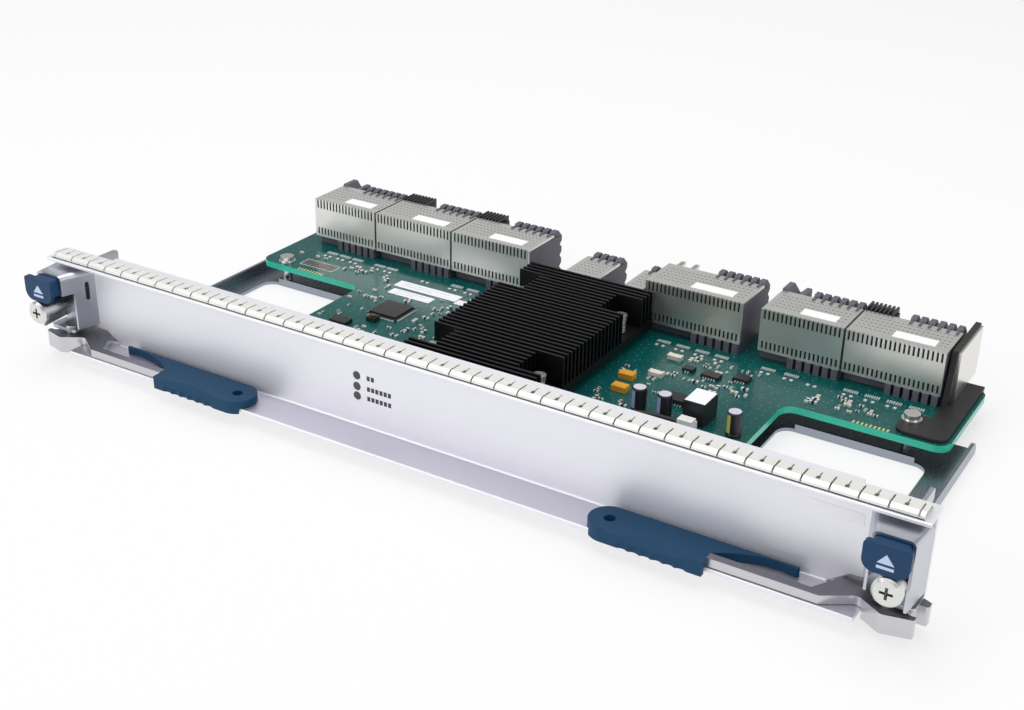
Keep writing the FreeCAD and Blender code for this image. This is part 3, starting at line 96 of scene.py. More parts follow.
def linear(code: str) -> tuple[float, float, float, float]:
    """Turn an sRGB hex colour into linear RGBA.

    Args:
        code: Colour as "#RRGGBB".

    Returns:
        Linear red, green, blue and an alpha of one.
    """
    parts = [int(code[i:i + 2], 16) / 255 for i in (1, 3, 5)]
    lin = [c / 12.92 if c <= 0.04045 else ((c + 0.055) / 1.055) ** 2.4 for c in parts]
    return lin[0], lin[1], lin[2], 1.0


def add_node(tree: bpy.types.NodeTree, kind: str, settings: dict | None = None,
             inputs: dict | None = None) -> bpy.types.Node:
    """Add a shader node, set its options and fill or link its inputs.

    Args:
        tree: Node tree that gets the node.
        kind: Blender's name of the node type.
        settings: Options of the node by name.
        inputs: Values or sockets for its inputs, by name or number.

    Returns:
        The new node.
    """
    node = tree.nodes.new(kind)
    for key, value in (settings or {}).items():
        setattr(node, key, value)
    for key, value in (inputs or {}).items():
        if isinstance(value, bpy.types.NodeSocket):
            tree.links.new(value, node.inputs[key])
        else:
            node.inputs[key].default_value = value
    return node


@dataclass(frozen=True)
class Finish:
    """A real surface: its colour, how it was made and the pattern that this gives the eye.

    Grain and tone are set by the size of one spot in millimetres. Real grain is mostly finer than a pixel, so
    grain_mm is as coarse as it needs to be to show.
    """

    name: str
    colour: str
    metallic: float = 0.0
    roughness: float = 0.5
    ior: float = 1.5
    grain_mm: float = 0.5
    stretch: tuple[float, float, float] = (1.0, 1.0, 1.0)
    bump_mm: float = 0.0
    tone: float = 0.05
    tone_mm: float = 14.0
    rough_spread: float = 0.06
    coat: float = 0.0
    smoothest: float = 0.02
    tone_detail: float = 3.0
    grain_detail: float = 2.0

    def coords(self, tree: bpy.types.NodeTree) -> bpy.types.NodeSocket:
        """Coordinates in metres along the piece, stretched with the grain."""
        place = add_node(tree, "ShaderNodeTexCoord")
        return add_node(tree, "ShaderNodeMapping", None,
                        {"Vector": place.outputs["Object"], "Scale": self.stretch}).outputs[0]

    def colour_of(self, tree: bpy.types.NodeTree, coords: bpy.types.NodeSocket) -> bpy.types.NodeSocket:
        """Colour that wanders a little over the surface.

        Args:
            tree: Node tree of the material.
            coords: Stretched coordinates.

        Returns:
            Colour socket.
        """
        base = linear(self.colour)
        low = tuple(c * (1 - self.tone) for c in base[:3]) + (1.0,)
        high = tuple(min(1.0, c * (1 + self.tone)) for c in base[:3]) + (1.0,)
        drift = add_node(tree, "ShaderNodeTexNoise", None,
                         {"Vector": coords, "Scale": PER_METRE / self.tone_mm, "Detail": self.tone_detail})
        mix = add_node(tree, "ShaderNodeMix", {"data_type": "RGBA"},
                       {0: drift.outputs["Fac"], 6: low, 7: high})
        return mix.outputs[2]

    def grain_of(self, tree: bpy.types.NodeTree, coords: bpy.types.NodeSocket) -> bpy.types.NodeSocket:
        """Fine grain of the surface as a value from zero to one."""
        return add_node(tree, "ShaderNodeTexNoise", None,
                        {"Vector": coords, "Scale": PER_METRE / self.grain_mm,
                         "Detail": self.grain_detail}).outputs["Fac"]

    def material(self) -> bpy.types.Material:
        """Build the material, once for each name.

        Returns:
            The material.
        """
        done = bpy.data.materials.get(self.name)
        if done:
            return done
        mat = bpy.data.materials.new(self.name)
        mat.use_nodes = True
        tree = mat.node_tree
        tree.nodes.clear()
        coords = self.coords(tree)
        grain = self.grain_of(tree, coords)
        rough = add_node(tree, "ShaderNodeMapRange", None, {
            "Value": grain, "To Min": max(self.smoothest, self.roughness - self.rough_spread),
            "To Max": min(1.0, self.roughness + self.rough_spread)})
        inputs = {"Base Color": self.colour_of(tree, coords), "Metallic": self.metallic,
                  "Roughness": rough.outputs[0], "IOR": self.ior, "Coat Weight": self.coat}
        if self.bump_mm:
            bump = add_node(tree, "ShaderNodeBump", None,
                            {"Strength": 1.0, "Distance": self.bump_mm * MM, "Height": grain})
            inputs["Normal"] = bump.outputs[0]
        shader = add_node(tree, "ShaderNodeBsdfPrincipled", None, inputs)
        add_node(tree, "ShaderNodeOutputMaterial", None, {"Surface": shader.outputs[0]})
        return mat


@dataclass(frozen=True)
class SolderMask(Finish):
    """Green solder mask over copper: traces show as paler lines, vias as dots, and the cut edge shows the
    laminate's paler colour brightened into a painted glow.

    Real traces are about 0.15 mm wide, too fine to show, so trace_mm draws them coarser.
    """

    # Side faces of the board: the laminate's paler colour, made brighter as painted glow
    edge: str = "#38BFA2"
    trace: str = "#2A7A68"
    pad: str = "#4E9583"
    trace_mm: float = 0.8
    patch_mm: float = 13.0
    via_mm: float = 4.2
    line_level: float = 0.72
    turn_level: float = 0.5
    busy_level: float = 0.45
    trace_strength: float = 0.2
    via_scatter: float = 0.8
    via_share: float = 0.07
    upright: float = 0.5

    def colour_of(self, tree: bpy.types.NodeTree, coords: bpy.types.NodeSocket) -> bpy.types.NodeSocket:
        """Mask colour with trace bundles, vias and the bare edge of the laminate, brightened as painted glow.

        Args:
            tree: Node tree of the material.
            coords: Coordinates in metres.

        Returns:
            Colour socket.
        """
        body = super().colour_of(tree, coords)
        patch = add_node(tree, "ShaderNodeTexVoronoi", {"distance": "CHEBYCHEV", "voronoi_dimensions": "2D"},
                         {"Vector": coords, "Scale": PER_METRE / self.patch_mm})
        turn = add_node(tree, "ShaderNodeSeparateColor", None, {"Color": patch.outputs["Color"]})
        lines = []
        for axis in ("X", "Y"):
            wave = add_node(tree, "ShaderNodeTexWave", {"bands_direction": axis, "wave_type": "BANDS"},
                            {"Vector": coords, "Distortion": 0.0,
                             "Scale": PER_METRE / self.trace_mm / WAVE_RADIANS * math.pi})
            lines.append(add_node(tree, "ShaderNodeMath", {"operation": "GREATER_THAN"},
                                  {0: wave.outputs["Fac"], 1: self.line_level}).outputs[0])
        pick = add_node(tree, "ShaderNodeMath", {"operation": "GREATER_THAN"},
                        {0: turn.outputs["Red"], 1: self.turn_level})
        line = add_node(tree, "ShaderNodeMix", {"data_type": "FLOAT"},
                        {0: pick.outputs[0], 2: lines[0], 3: lines[1]})
        busy = add_node(tree, "ShaderNodeMath", {"operation": "GREATER_THAN"},
                        {0: turn.outputs["Green"], 1: self.busy_level})
        drawn = add_node(tree, "ShaderNodeMath", {"operation": "MULTIPLY"},
                         {0: line.outputs[0], 1: busy.outputs[0]})
        faint = add_node(tree, "ShaderNodeMath", {"operation": "MULTIPLY"},
                         {0: drawn.outputs[0], 1: self.trace_strength})
        traced = add_node(tree, "ShaderNodeMix", {"data_type": "RGBA"},
                          {0: faint.outputs[0], 6: body, 7: linear(self.trace)})
        via = add_node(tree, "ShaderNodeTexVoronoi", {"voronoi_dimensions": "2D"},
                       {"Vector": coords, "Scale": PER_METRE / self.via_mm, "Randomness": self.via_scatter})
        dot = add_node(tree, "ShaderNodeMath", {"operation": "LESS_THAN"},
                       {0: via.outputs["Distance"], 1: self.via_share})
        dotted = add_node(tree, "ShaderNodeMix", {"data_type": "RGBA"},
                          {0: dot.outputs[0], 6: traced.outputs[2], 7: linear(self.pad)})
        face = add_node(tree, "ShaderNodeNewGeometry")
        normal = add_node(tree, "ShaderNodeSeparateXYZ", None, {"Vector": face.outputs["True Normal"]})
        tilt = add_node(tree, "ShaderNodeMath", {"operation": "ABSOLUTE"}, {0: normal.outputs["Z"]})
        side = add_node(tree, "ShaderNodeMath", {"operation": "LESS_THAN"},
                        {0: tilt.outputs[0], 1: self.upright})
        with_edge_glow = add_node(tree, "ShaderNodeMix", {"data_type": "RGBA"},
                         {0: side.outputs[0], 6: dotted.outputs[2], 7: linear(self.edge)})
        return with_edge_glow.outputs[2]


# Extruded aluminium, bead blasted and clear anodised: satin, with a faint draw grain along its length.
PANEL = Finish("satin_anodised_aluminium", "#F0F0F6", 0.6, 0.45, grain_mm=0.35, stretch=(0.06, 1, 1),
               tone=0.03, tone_mm=20, rough_spread=0.05)
# Painted shade: a darker, duller copy of the panel's extrusion for the upward faces of the ledge, with the
# same faint draw grain.
PANEL_LEDGE_SHADE = Finish("anodised_aluminium_ledge_shade", "#CDCBD5", 1.0, 0.5, grain_mm=0.35, stretch=(0.06, 1, 1),
                tone=0.03, tone_mm=20, rough_spread=0.05)
# Die-cast aluminium, tumbled and brushed on its faces: brighter, with a short grain.
CAST = Finish("brushed_cast_aluminium", "#CDCDD0", 1.0, 0.24, grain_mm=0.3, stretch=(0.1, 1, 1),
              tone=0.05, tone_mm=9, rough_spread=0.08)
# Painted shade: a dull grey copy of the cast aluminium for the lever arms' upward faces, darker than their
# brushed edges.
LEVER_TOP_SHADE = Finish("cast_aluminium_top_shade", "#7E7D85", 1.0, 0.42, grain_mm=0.5, tone=0.06, tone_mm=9,
                 rough_spread=0.06)
# Zinc-plated steel sheet: cool grey, with the mill's rolling lines under the plating.
ZINC = Finish("zinc_plated_steel_sheet", "#C6C9D0", 1.0, 0.33, grain_mm=0.4, stretch=(1, 0.08, 1),
              tone=0.05, tone_mm=16, rough_spread=0.07)
# The tray's sheet: a darker copy of the zinc plate that paints the shade and dark reflection under the board.
SHADED_TRAY = Finish("zinc_sheet_painted_shade", "#99A0AB", 1.0, 0.28, grain_mm=0.4, stretch=(1, 0.08, 1),
              tone=0.06, tone_mm=16, rough_spread=0.06)
# Matt tin over spring strip: pale and soft, close to white.
MATT_TIN = Finish("matt_tinned_spring_strip", "#F0F0EC", 0.4, 0.42, grain_mm=0.4, stretch=(1, 0.15, 1),
                  tone=0.03, tone_mm=8, rough_spread=0.06)
# Nickel-plated spring strip: warm bright metal.
SPRING = Finish("nickel_plated_spring_strip", "#E4E2DC", 1.0, 0.3, grain_mm=0.5, stretch=(1, 0.15, 1),
                tone=0.05, tone_mm=8, rough_spread=0.06)
# Turned and nickel-plated screws: bright, with fine tool rings.
NICKEL = Finish("nickel_plated_steel", "#DEDFDC", 1.0, 0.28, grain_mm=0.25, tone=0.05, tone_mm=3)
# Moulded glass-filled nylon with a spark-eroded grain that dulls its gloss.
BLUE_NYLON = Finish("moulded_blue_nylon", "#063E60", 0.0, 0.58, 1.38, grain_mm=0.45, bump_mm=0.02,
                    tone=0.08, tone_mm=9)
# The buttons' nylon, from a finer mould: darker and a little glossier than the handles.
DARK_BLUE_NYLON = Finish("moulded_dark_blue_nylon", "#05385E", 0.0, 0.45, 1.4, grain_mm=0.45, bump_mm=0.015,
                         tone=0.08, tone_mm=6)
# Liquid photo-imaged solder mask on glass-epoxy laminate: deep green, and it mirrors the parts.
MASK = SolderMask("solder_mask_on_laminate", "#095150", 0.0, 0.2, 1.38, tone=0.12, tone_mm=18,
                  rough_spread=0.03)
# The same mask on the small upright board behind the panel: plain, with no trace pattern.
UPRIGHT_MASK = Finish("solder_mask_on_small_board", "#095150", 0.0, 0.2, 1.38, tone=0.15, tone_mm=6)
# Extruded aluminium, black anodised: deep black with a soft sheen on the fin crests.
BLACK_ANODISED = Finish("black_anodised_aluminium", "#17171B", 0.6, 0.42, grain_mm=0.3, stretch=(0.08, 1, 1),
                        tone=0.12, tone_mm=12)
# Tin-plated copper alloy strip, stamped: warm silver with soft roll marks.
TIN = Finish("tinned_stamped_strip", "#E3E3DE", 0.85, 0.3, grain_mm=0.3, stretch=(1, 1, 0.2),
             tone=0.05, tone_mm=9, rough_spread=0.03)
# Liquid-crystal polymer mouldings of the connectors: matt slate.
SLATE = Finish("moulded_slate_polymer", "#5B5B66", 0.0, 0.55, grain_mm=0.4, bump_mm=0.008, tone=0.08,
               tone_mm=5)
# Glass-filled polymer in black: a soft sheen and no colour.
BLACK = Finish("moulded_black_polymer", "#18181B", 0.0, 0.48, grain_mm=0.4, bump_mm=0.008, tone=0.12,
               tone_mm=5)
# Chip cases in transfer-moulded epoxy: charcoal with a fine matt skin.
EPOXY = Finish("moulded_chip_epoxy", "#1D1E20", 0.0, 0.45, grain_mm=0.15, bump_mm=0.004, tone=0.12, tone_mm=4)
# Moulded capacitor cases: warm yellow, half glossy.
TANTALUM = Finish("moulded_yellow_epoxy", "#E3A32C", 0.0, 0.4, grain_mm=0.2, tone=0.08, tone_mm=3)
# Drawn cans in a shrunk sleeve: dark and smooth, with a faint glint of metal.
CAN = Finish("sleeved_aluminium_can", "#26262C", 0.2, 0.35, tone=0.08, tone_mm=4)
# Nylon without pigment: creamy, with a soft gloss.
CREAM = Finish("moulded_cream_nylon", "#E8E3D0", 0.0, 0.45, grain_mm=0.4, tone=0.04, tone_mm=4)
# Nylon whitened with pigment: clean white, with a soft gloss.
WHITE_NYLON = Finish("moulded_white_nylon", "#EFEFEC", 0.0, 0.42, grain_mm=0.4, tone=0.03, tone_mm=4)
# Extruded sleeve of the lead: near black and waxy.
RUBBER = Finish("black_pvc_sleeve", "#0F0F10", 0.0, 0.5, grain_mm=0.5, bump_mm=0.01, tone=0.1, tone_mm=5)
# Moulded acrylic over unlit lamps: dark, and glossy enough to hold a highlight.
LENS = Finish("smoked_lamp_lens", "#35363A", 0.0, 0.12, ior=1.49, tone=0.05, tone_mm=2, coat=0.4)
# Coated label paper: flat white.
PAPER = Finish("blank_paper_label", "#F7F7FB", 0.0, 0.6, grain_mm=0.2, tone=0.02, tone_mm=3)
# Printed inks: thin flat films, duller than what they lie on.
INK = Finish("printed_pale_blue_ink", "#BFD2EA", 0.0, 0.5, tone=0.03, tone_mm=3)
PRINT = Finish("printed_dark_ink", "#3A3A42", 0.0, 0.55, tone=0.06, tone_mm=2)
PALE_PRINT = Finish("printed_white_ink", "#DCE6E2", 0.0, 0.55, tone=0.05, tone_mm=2)
# Painted shade in a hollow: the drive recess of a screw, dark grey.
RECESS_SHADE_FINISH = Finish("dark_grey_recess_shade", "#4A4A46", 0.7, 0.45, tone=0.1, tone_mm=1)
# Bare copper land with a flash of gold: warm yellow, a little uneven.
GOLD = Finish("gold_flashed_copper", "#DAD58F", 0.5, 0.35, tone=0.08, tone_mm=2)
# Bare copper land, dulled by the air: brown red.
COPPER = Finish("bare_copper_land", "#9A5A44", 0.6, 0.45, tone=0.12, tone_mm=2)
# Enamelled wire at the inductor's middle: deep glossy red.
RED = Finish("enamelled_red_winding", "#6E1F1C", 0.0, 0.35, tone=0.15, tone_mm=1)
# Ceramic chip parts: fired tan and black bodies with dipped tin ends.
CERAMIC = Finish("fired_tan_ceramic", "#B7A78C", 0.0, 0.5, tone=0.1, tone_mm=2)
RESIN = Finish("glazed_black_ceramic", "#1B1B1E", 0.0, 0.35, tone=0.1, tone_mm=2)
SOLDER = Finish("dipped_tin_ends", "#E2E6E4", 0.35, 0.35, tone=0.08, tone_mm=1.5)
# Drawn aluminium can top, lightly etched.
BARE_ALUMINIUM = Finish("etched_aluminium_top", "#E6E4F0", 0.4, 0.35, tone=0.05, tone_mm=2)
# Pale stripes on the cans' sleeves, facing the front-left lamp: partly printed stripes, partly painted
# highlight; smooth, and pale against the dark.
STRIPE = Finish("lavender_stripe_and_painted_highlight", "#A9A2D6", 0.0, 0.4, tone=0.05, tone_mm=2)
YELLOW_STRIPE = Finish("yellow_stripe_and_painted_highlight", "#C8C25C", 0.0, 0.4, tone=0.05, tone_mm=2)


class Slot(Enum):
    """Material slots of the record with the finish that each one shows."""

    panel = PANEL
    cast_metal = CAST
    sheet_steel = ZINC
    spring_steel = SPRING
    fastener = NICKEL
    handle_plastic = BLUE_NYLON
    button_plastic = DARK_BLUE_NYLON
    board = MASK
    heat_sink = BLACK_ANODISED
    tin_cover = TIN
    connector_plastic = SLATE
    black_plastic = BLACK
    chip = EPOXY
    tantalum = TANTALUM
    can = CAN
    plug = CREAM
    lead = RUBBER
    lamp = LENS
    label = PAPER


class Mesh:
    """Collects the faces of one piece, in millimetres with Y from the web's front, and makes its object."""

    def __init__(self) -> None:
        """Start with no faces."""
        self.bm = bmesh.new()

    def point(self, x: float, y: float, z: float) -> bmesh.types.BMVert:
        """Add a vertex in the shared frame."""
        return self.bm.verts.new((x * MM, (y + WEB_Y) * MM, z * MM))

    def box(self, lo: tuple, hi: tuple) -> None:
        """Add a box between two corners."""
        self.prism([(lo[0], lo[1]), (hi[0], lo[1]), (hi[0], hi[1]), (lo[0], hi[1])], "Z", lo[2], hi[2])

    def block(self, x: float, y: float, z: float, size: tuple[float, float, float]) -> None:
        """Add a box centred on x and y that stands on z."""
        self.box((x - size[0] / 2, y - size[1] / 2, z), (x + size[0] / 2, y + size[1] / 2, z + size[2]))

    def prism(self, outline: list[tuple[float, float]], axis: str, start: float, end: float) -> None:
        """Extrude an outline.

        Args:
            outline: Corners as (x, y) for axis Z, or (x, z) for axis Y.
            axis: Axis of the extrusion, Y or Z.
            start: First end along the axis.
            end: Other end along the axis.
        """
        rings = []
        for level in (start, end):
            places = [(a, b, level) if axis == "Z" else (a, level, b) for a, b in outline]
            rings.append([self.point(*p) for p in places])
        count = len(outline)
        for k in range(count):
            m = (k + 1) % count
            self.bm.faces.new((rings[0][k], rings[0][m], rings[1][m], rings[1][k]))
        self.bm.faces.new(rings[0][::-1])
        self.bm.faces.new(rings[1])

    def coil(self, base: tuple, axis: tuple, radius: float, wire: float, length: float, turns: int) -> None:
        """Wind a compression spring with closed ends.

        Args:
            base: Middle of its first end.
            axis: Direction from that end to the other.
            radius: Outer radius.
            wire: Diameter of the wire.
            length: Free length.
            turns: Number of turns.
        """
        along = Vector(axis).normalized()
        across = along.orthogonal().normalized()
        third = along.cross(across)
        rings = []
        for k in range(turns * TURN_STEPS + 1):
            turn = k / TURN_STEPS
            ends = wire * (min(turn, 1.0) + max(turn - turns + 1, 0.0))
            rise = min(max((turn - 1) / (turns - 2), 0.0), 1.0)
            angle = turn * math.tau
            out = across * math.cos(angle) + third * math.sin(angle)
            climb = wire / 2 + ends + rise * (length - 3 * wire)
            middle = Vector(base) + along * climb + out * (radius - wire / 2)
            spokes = [s * math.tau / WIRE_SIDES for s in range(WIRE_SIDES)]
            rings.append([self.point(*(middle + (out * math.cos(s) + along * math.sin(s)) * wire / 2))
                          for s in spokes])
        for one, two in zip(rings, rings[1:]):
            for s in range(WIRE_SIDES):
                n = (s + 1) % WIRE_SIDES
                self.bm.faces.new((one[s], one[n], two[n], two[s]))
        self.bm.faces.new(rings[0][::-1])
        self.bm.faces.new(rings[-1])

    def make(self, name: str, finish: Finish, body: str = ROOT, bevel: float = 0.0) -> bpy.types.Object:
        """Turn the faces into an object that rides on a body.

        Args:
            name: Name of the piece.
            finish: Its surface.
            body: Body that it moves with.
            bevel: Width of its softened edges in millimetres.

        Returns:
            The object.
        """
        bmesh.ops.recalc_face_normals(self.bm, faces=self.bm.faces)
        data = bpy.data.meshes.new(name)
        self.bm.to_mesh(data)
        self.bm.free()
        obj = bpy.data.objects.new(name, data)
        bpy.context.scene.collection.objects.link(obj)
        data.materials.append(finish.material())
        soften(obj, bevel)
        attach(obj, body)
        LOG.info("piece %s: %d faces", name, len(data.polygons))
        return obj


def circle(x: float, y: float, radius: float, start: float = 0.0, end: float = 360.0,
           steps: int = 32) -> list[tuple[float, float]]:
    """Points along an arc.

    Args:
        x: First coordinate of its middle.
        y: Second coordinate of its middle.
        radius: Its radius.
        start: First angle in degrees.
        end: Last angle in degrees, left out where the arc is a full circle.
        steps: Number of steps.

    Returns:
        The points in order.
    """
    count = steps if end - start >= 360 else steps + 1
    angles = [math.radians(start + (end - start) * k / steps) for k in range(count)]
    return [(x + radius * math.cos(a), y + radius * math.sin(a)) for a in angles]


def soften(obj: bpy.types.Object, width: float) -> None:
    """Shade a piece smooth with sharp folds, and round its edges.

    Args:
        obj: Piece to soften.
        width: Width of the rounded edge in millimetres, or zero for none.
    """
    obj.data.shade_smooth()
    obj.data.set_sharp_from_angle(angle=math.radians(SHARP_FOLD))
    if width:
        mod = obj.modifiers.new("soft_edges", "BEVEL")
        mod.width = width * MM
        mod.segments = EDGE_STEPS
        mod.limit_method = "ANGLE"
        mod.angle_limit = math.radians(SHARP_FOLD)
        mod.harden_normals = True


@dataclass
class Dresser:
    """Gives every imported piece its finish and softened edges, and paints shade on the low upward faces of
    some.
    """

    frame: dict
    bevels: dict[str, float] = field(default_factory=lambda: {
        "panel": 0.25, "cast_metal": 0.35, "sheet_steel": 0.2, "handle_plastic": 0.6, "button_plastic": 0.35,
        "fastener": 0.15, "tin_cover": 0.1, "connector_plastic": 0.12, "black_plastic": 0.15, "chip": 0.12,
        "heat_sink": 0.12, "spring_steel": 0.06, "plug": 0.15, "tantalum": 0.1, "board": 0.1})
    # Own finishes of some nodes; the tray's is a darker copy of the zinc sheet, painted shade
    own: dict[str, Finish] = field(default_factory=lambda: {
        "emi_gasket": MATT_TIN, "carrier_tray": SHADED_TRAY, "light_board": UPRIGHT_MASK,
        "lead_plug": WHITE_NYLON})
    # Pieces whose low upward faces get painted shade: the darker finish, and the height in millimetres that
    # they stay under
    tops: dict[str, tuple[Finish, float]] = field(default_factory=lambda: {
        "front_panel": (PANEL_LEDGE_SHADE, 9.0), "left_lever_arm": (LEVER_TOP_SHADE, 12.0), "right_lever_arm": (LEVER_TOP_SHADE, 12.0)})
    upward: float = 0.9

    def dress(self) -> None:
        """Finish each node by its slot in the record, or by its own finish, then paint shade on the low
        upward faces of the pieces in tops.
        """
        for part in self.frame["record"]["subparts"]:
            node, slot = part["node"], part["material_slot"]
            obj = self.frame["nodes"][node]
            finish = self.own.get(node, Slot[slot].value)
            obj.data.materials.clear()
            obj.data.materials.append(finish.material())
            soften(obj, self.bevels.get(slot, 0.0))
            LOG.info("node %s: %s", node, finish.name)
        for node, (finish, below) in self.tops.items():
            self.face_top(self.frame["nodes"][node], finish, below)

    def face_top(self, obj: bpy.types.Object, finish: Finish, below: float) -> None:
        """Paint shade on the low upward faces of a piece with a darker finish of their own.

        Args:
            obj: The piece.
            finish: Darker finish that paints the shade on those faces.
            below: Height in millimetres that they stay under.
        """
        obj.data.materials.append(finish.material())
        for face in obj.data.polygons:
            if face.normal.z > self.upward and face.center.z < below * MM:
                face.material_index = 1


@dataclass
class PanelMarks:
    """Small printed marks and painted shade on the panel, the eject buttons and the captive screws."""

    light_x: float = -33.5
    light_rows: tuple = ((30.0, 2), (25.2, 6), (20.9, 6))
    mark: tuple[float, float] = (1.5, 2.0)
    mark_gap: float = 0.55
    mark_start: float = 5.0
    ink: float = 0.03
    button_x: float = 190.7
    button_front: float = -21.5
    triangle: tuple = ((-2.9, 35.2), (2.9, 35.2), (0.0, 38.8))
    bar: tuple = ((-2.9, 33.2), (2.9, 33.2), (2.9, 34.3), (-2.9, 34.3))
    screw: tuple[float, float] = (192.5, 25.3)
    # Depth of the drive recess's floor, and the arms of its cross of painted shade
    recess_floor: float = -20.95
    recess_arm: tuple[float, float] = (2.2, 0.42)
    # Heights of the dark line of painted shade under the gasket's fingers
    line: tuple[float, float] = (45.5, 45.95)
    # Outline and heights of the dark strip of painted shade in each arch's slot
    strip: tuple = ((180.32, -2.6), (181.12, -5.0), (181.42, -5.0), (180.62, -2.6))
    strip_heights: tuple[float, float] = (27.9, 37.3)

    def light_marks(self) -> None:
        """Print a row of plain blocks beside each lamp."""
        mesh = Mesh()
        for z, count in self.light_rows:
            for k in range(count):
                x = self.light_x + self.mark_start + k * (self.mark[0] + self.mark_gap)
                mesh.box((x, -self.ink, z - self.mark[1] / 2), (x + self.mark[0], 0.0, z + self.mark[1] / 2))
        mesh.make("lamp_marks", PRINT)

    def eject_mark(self, side: str, sign: int) -> None:
        """Print the eject triangle and its bar on a button.

        Args:
            side: Name of the side.
            sign: Its direction along X.
        """
        mesh = Mesh()
        for outline in (self.triangle, self.bar):
            places = [(sign * self.button_x + x, z) for x, z in outline]
            mesh.prism(places, "Y", self.button_front - self.ink, self.button_front)
        mesh.make(side + "_eject_mark", INK, side + "_button")

    def recess_shade(self, side: str, sign: int) -> None:
        """Paint shade on the floor of a screw's drive recess with a dark cross.

        Args:
            side: Name of the side.
            sign: Its direction along X.
        """
        mesh = Mesh()
        x, z = sign * self.screw[0], self.screw[1]
        long, short = self.recess_arm
        corner = ((-long, -short), (-short, -short), (-short, -long))
        cross = [*corner, *((-a, b) for a, b in corner[::-1]), *((-a, -b) for a, b in corner),
                 *((a, -b) for a, b in corner[::-1])]
        mesh.prism([(x + a, z + b) for a, b in cross], "Y", self.recess_floor - self.ink, self.recess_floor)
        mesh.make(side + "_recess_shade", RECESS_SHADE_FINISH, side + "_screw")

    def slot_strip(self, side: str, sign: int) -> None:
        """Set the dark strip of painted shade that shows through the slot of an arch's inner leg.

        Args:
            side: Name of the side.
            sign: Its direction along X.
        """
        mesh = Mesh()
        mesh.prism([(sign * x, y) for x, y in self.strip], "Z", *self.strip_heights)
        mesh.make(side + "_slot_strip", BLACK)

    def gasket_line(self) -> None:
        """Paint a dark line of shade at the crease under the front of the gasket's fingers."""
        lo, hi = (Vector(p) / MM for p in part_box("emi_gasket"))
        mesh = Mesh()
        front = lo.y - WEB_Y
        mesh.box((lo.x, front - self.ink, self.line[0]), (hi.x, front, self.line[1]))
        mesh.make("gasket_line", PRINT)

    def build(self) -> None:
        """Make every mark."""
        self.light_marks()
        self.gasket_line()
        for side, sign in ENDS:
            self.eject_mark(side, sign)
            self.recess_shade(side, sign)
            self.slot_strip(side, sign)


@dataclass(frozen=True)
class Coil:
    """A spring of one side, wound at its free length."""

    kind: str
    joint: str
    body: str
    place: tuple[float, float, float]
    length: float
    radius: float
    turns: int
    stroke: float
    moving_end: bool


@dataclass
class Springs:
    """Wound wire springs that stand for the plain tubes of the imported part."""

    sink_x: tuple = (-28.4, 23.6)
    sink_y: tuple = (46.8, 117.8)
    sink_z: float = 18.3
    sink_length: float = 6.0
    sink_radius: float = 2.6
    sink_turns: int = 6
    wire: float = 0.5
    coils: tuple[Coil, ...] = (
        Coil("button", "button_press", "", (190.7, -13.6, 37.2), 12.1, 2.2, 9, 4.0, False),
        Coil("screw", "screw_slide", "screw_carrier", (192.5, -20.1, 25.3), 15.1, 2.65, 11, 5.0, True))

    def sink_springs(self) -> None:
        """Wind the four springs under the heat sink's screws."""
        mesh = Mesh()
        for x in self.sink_x:
            for y in self.sink_y:
                mesh.coil((x, y, self.sink_z), (0, 0, 1), self.sink_radius, self.wire, self.sink_length,
                          self.sink_turns)
        obj = mesh.make("sink_coils", SPRING)
        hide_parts("heat_sink_springs")

    def side_spring(self, coil: Coil, side: str, sign: int) -> None:
        """Wind a spring that lies along Y and rides on its body.

        Args:
            coil: Its sizes and its joint.
            side: Name of the side.
            sign: Its direction along X.
        """
        x, y, z = sign * coil.place[0], coil.place[1], coil.place[2]
        mesh = Mesh()
        mesh.coil((x, y, z), (0, 1, 0), coil.radius, self.wire, coil.length, coil.turns)
        obj = mesh.make(f"{side}_{coil.kind}_coil", SPRING, f"{side}_{coil.body}" if coil.body else ROOT)
        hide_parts(f"{side}_{coil.kind}_spring")
        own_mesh(obj)

    def build(self) -> None:
        """Wind every spring."""
        self.sink_springs()
        for coil in self.coils:
            for side, sign in ENDS:
                self.side_spring(coil, side, sign)


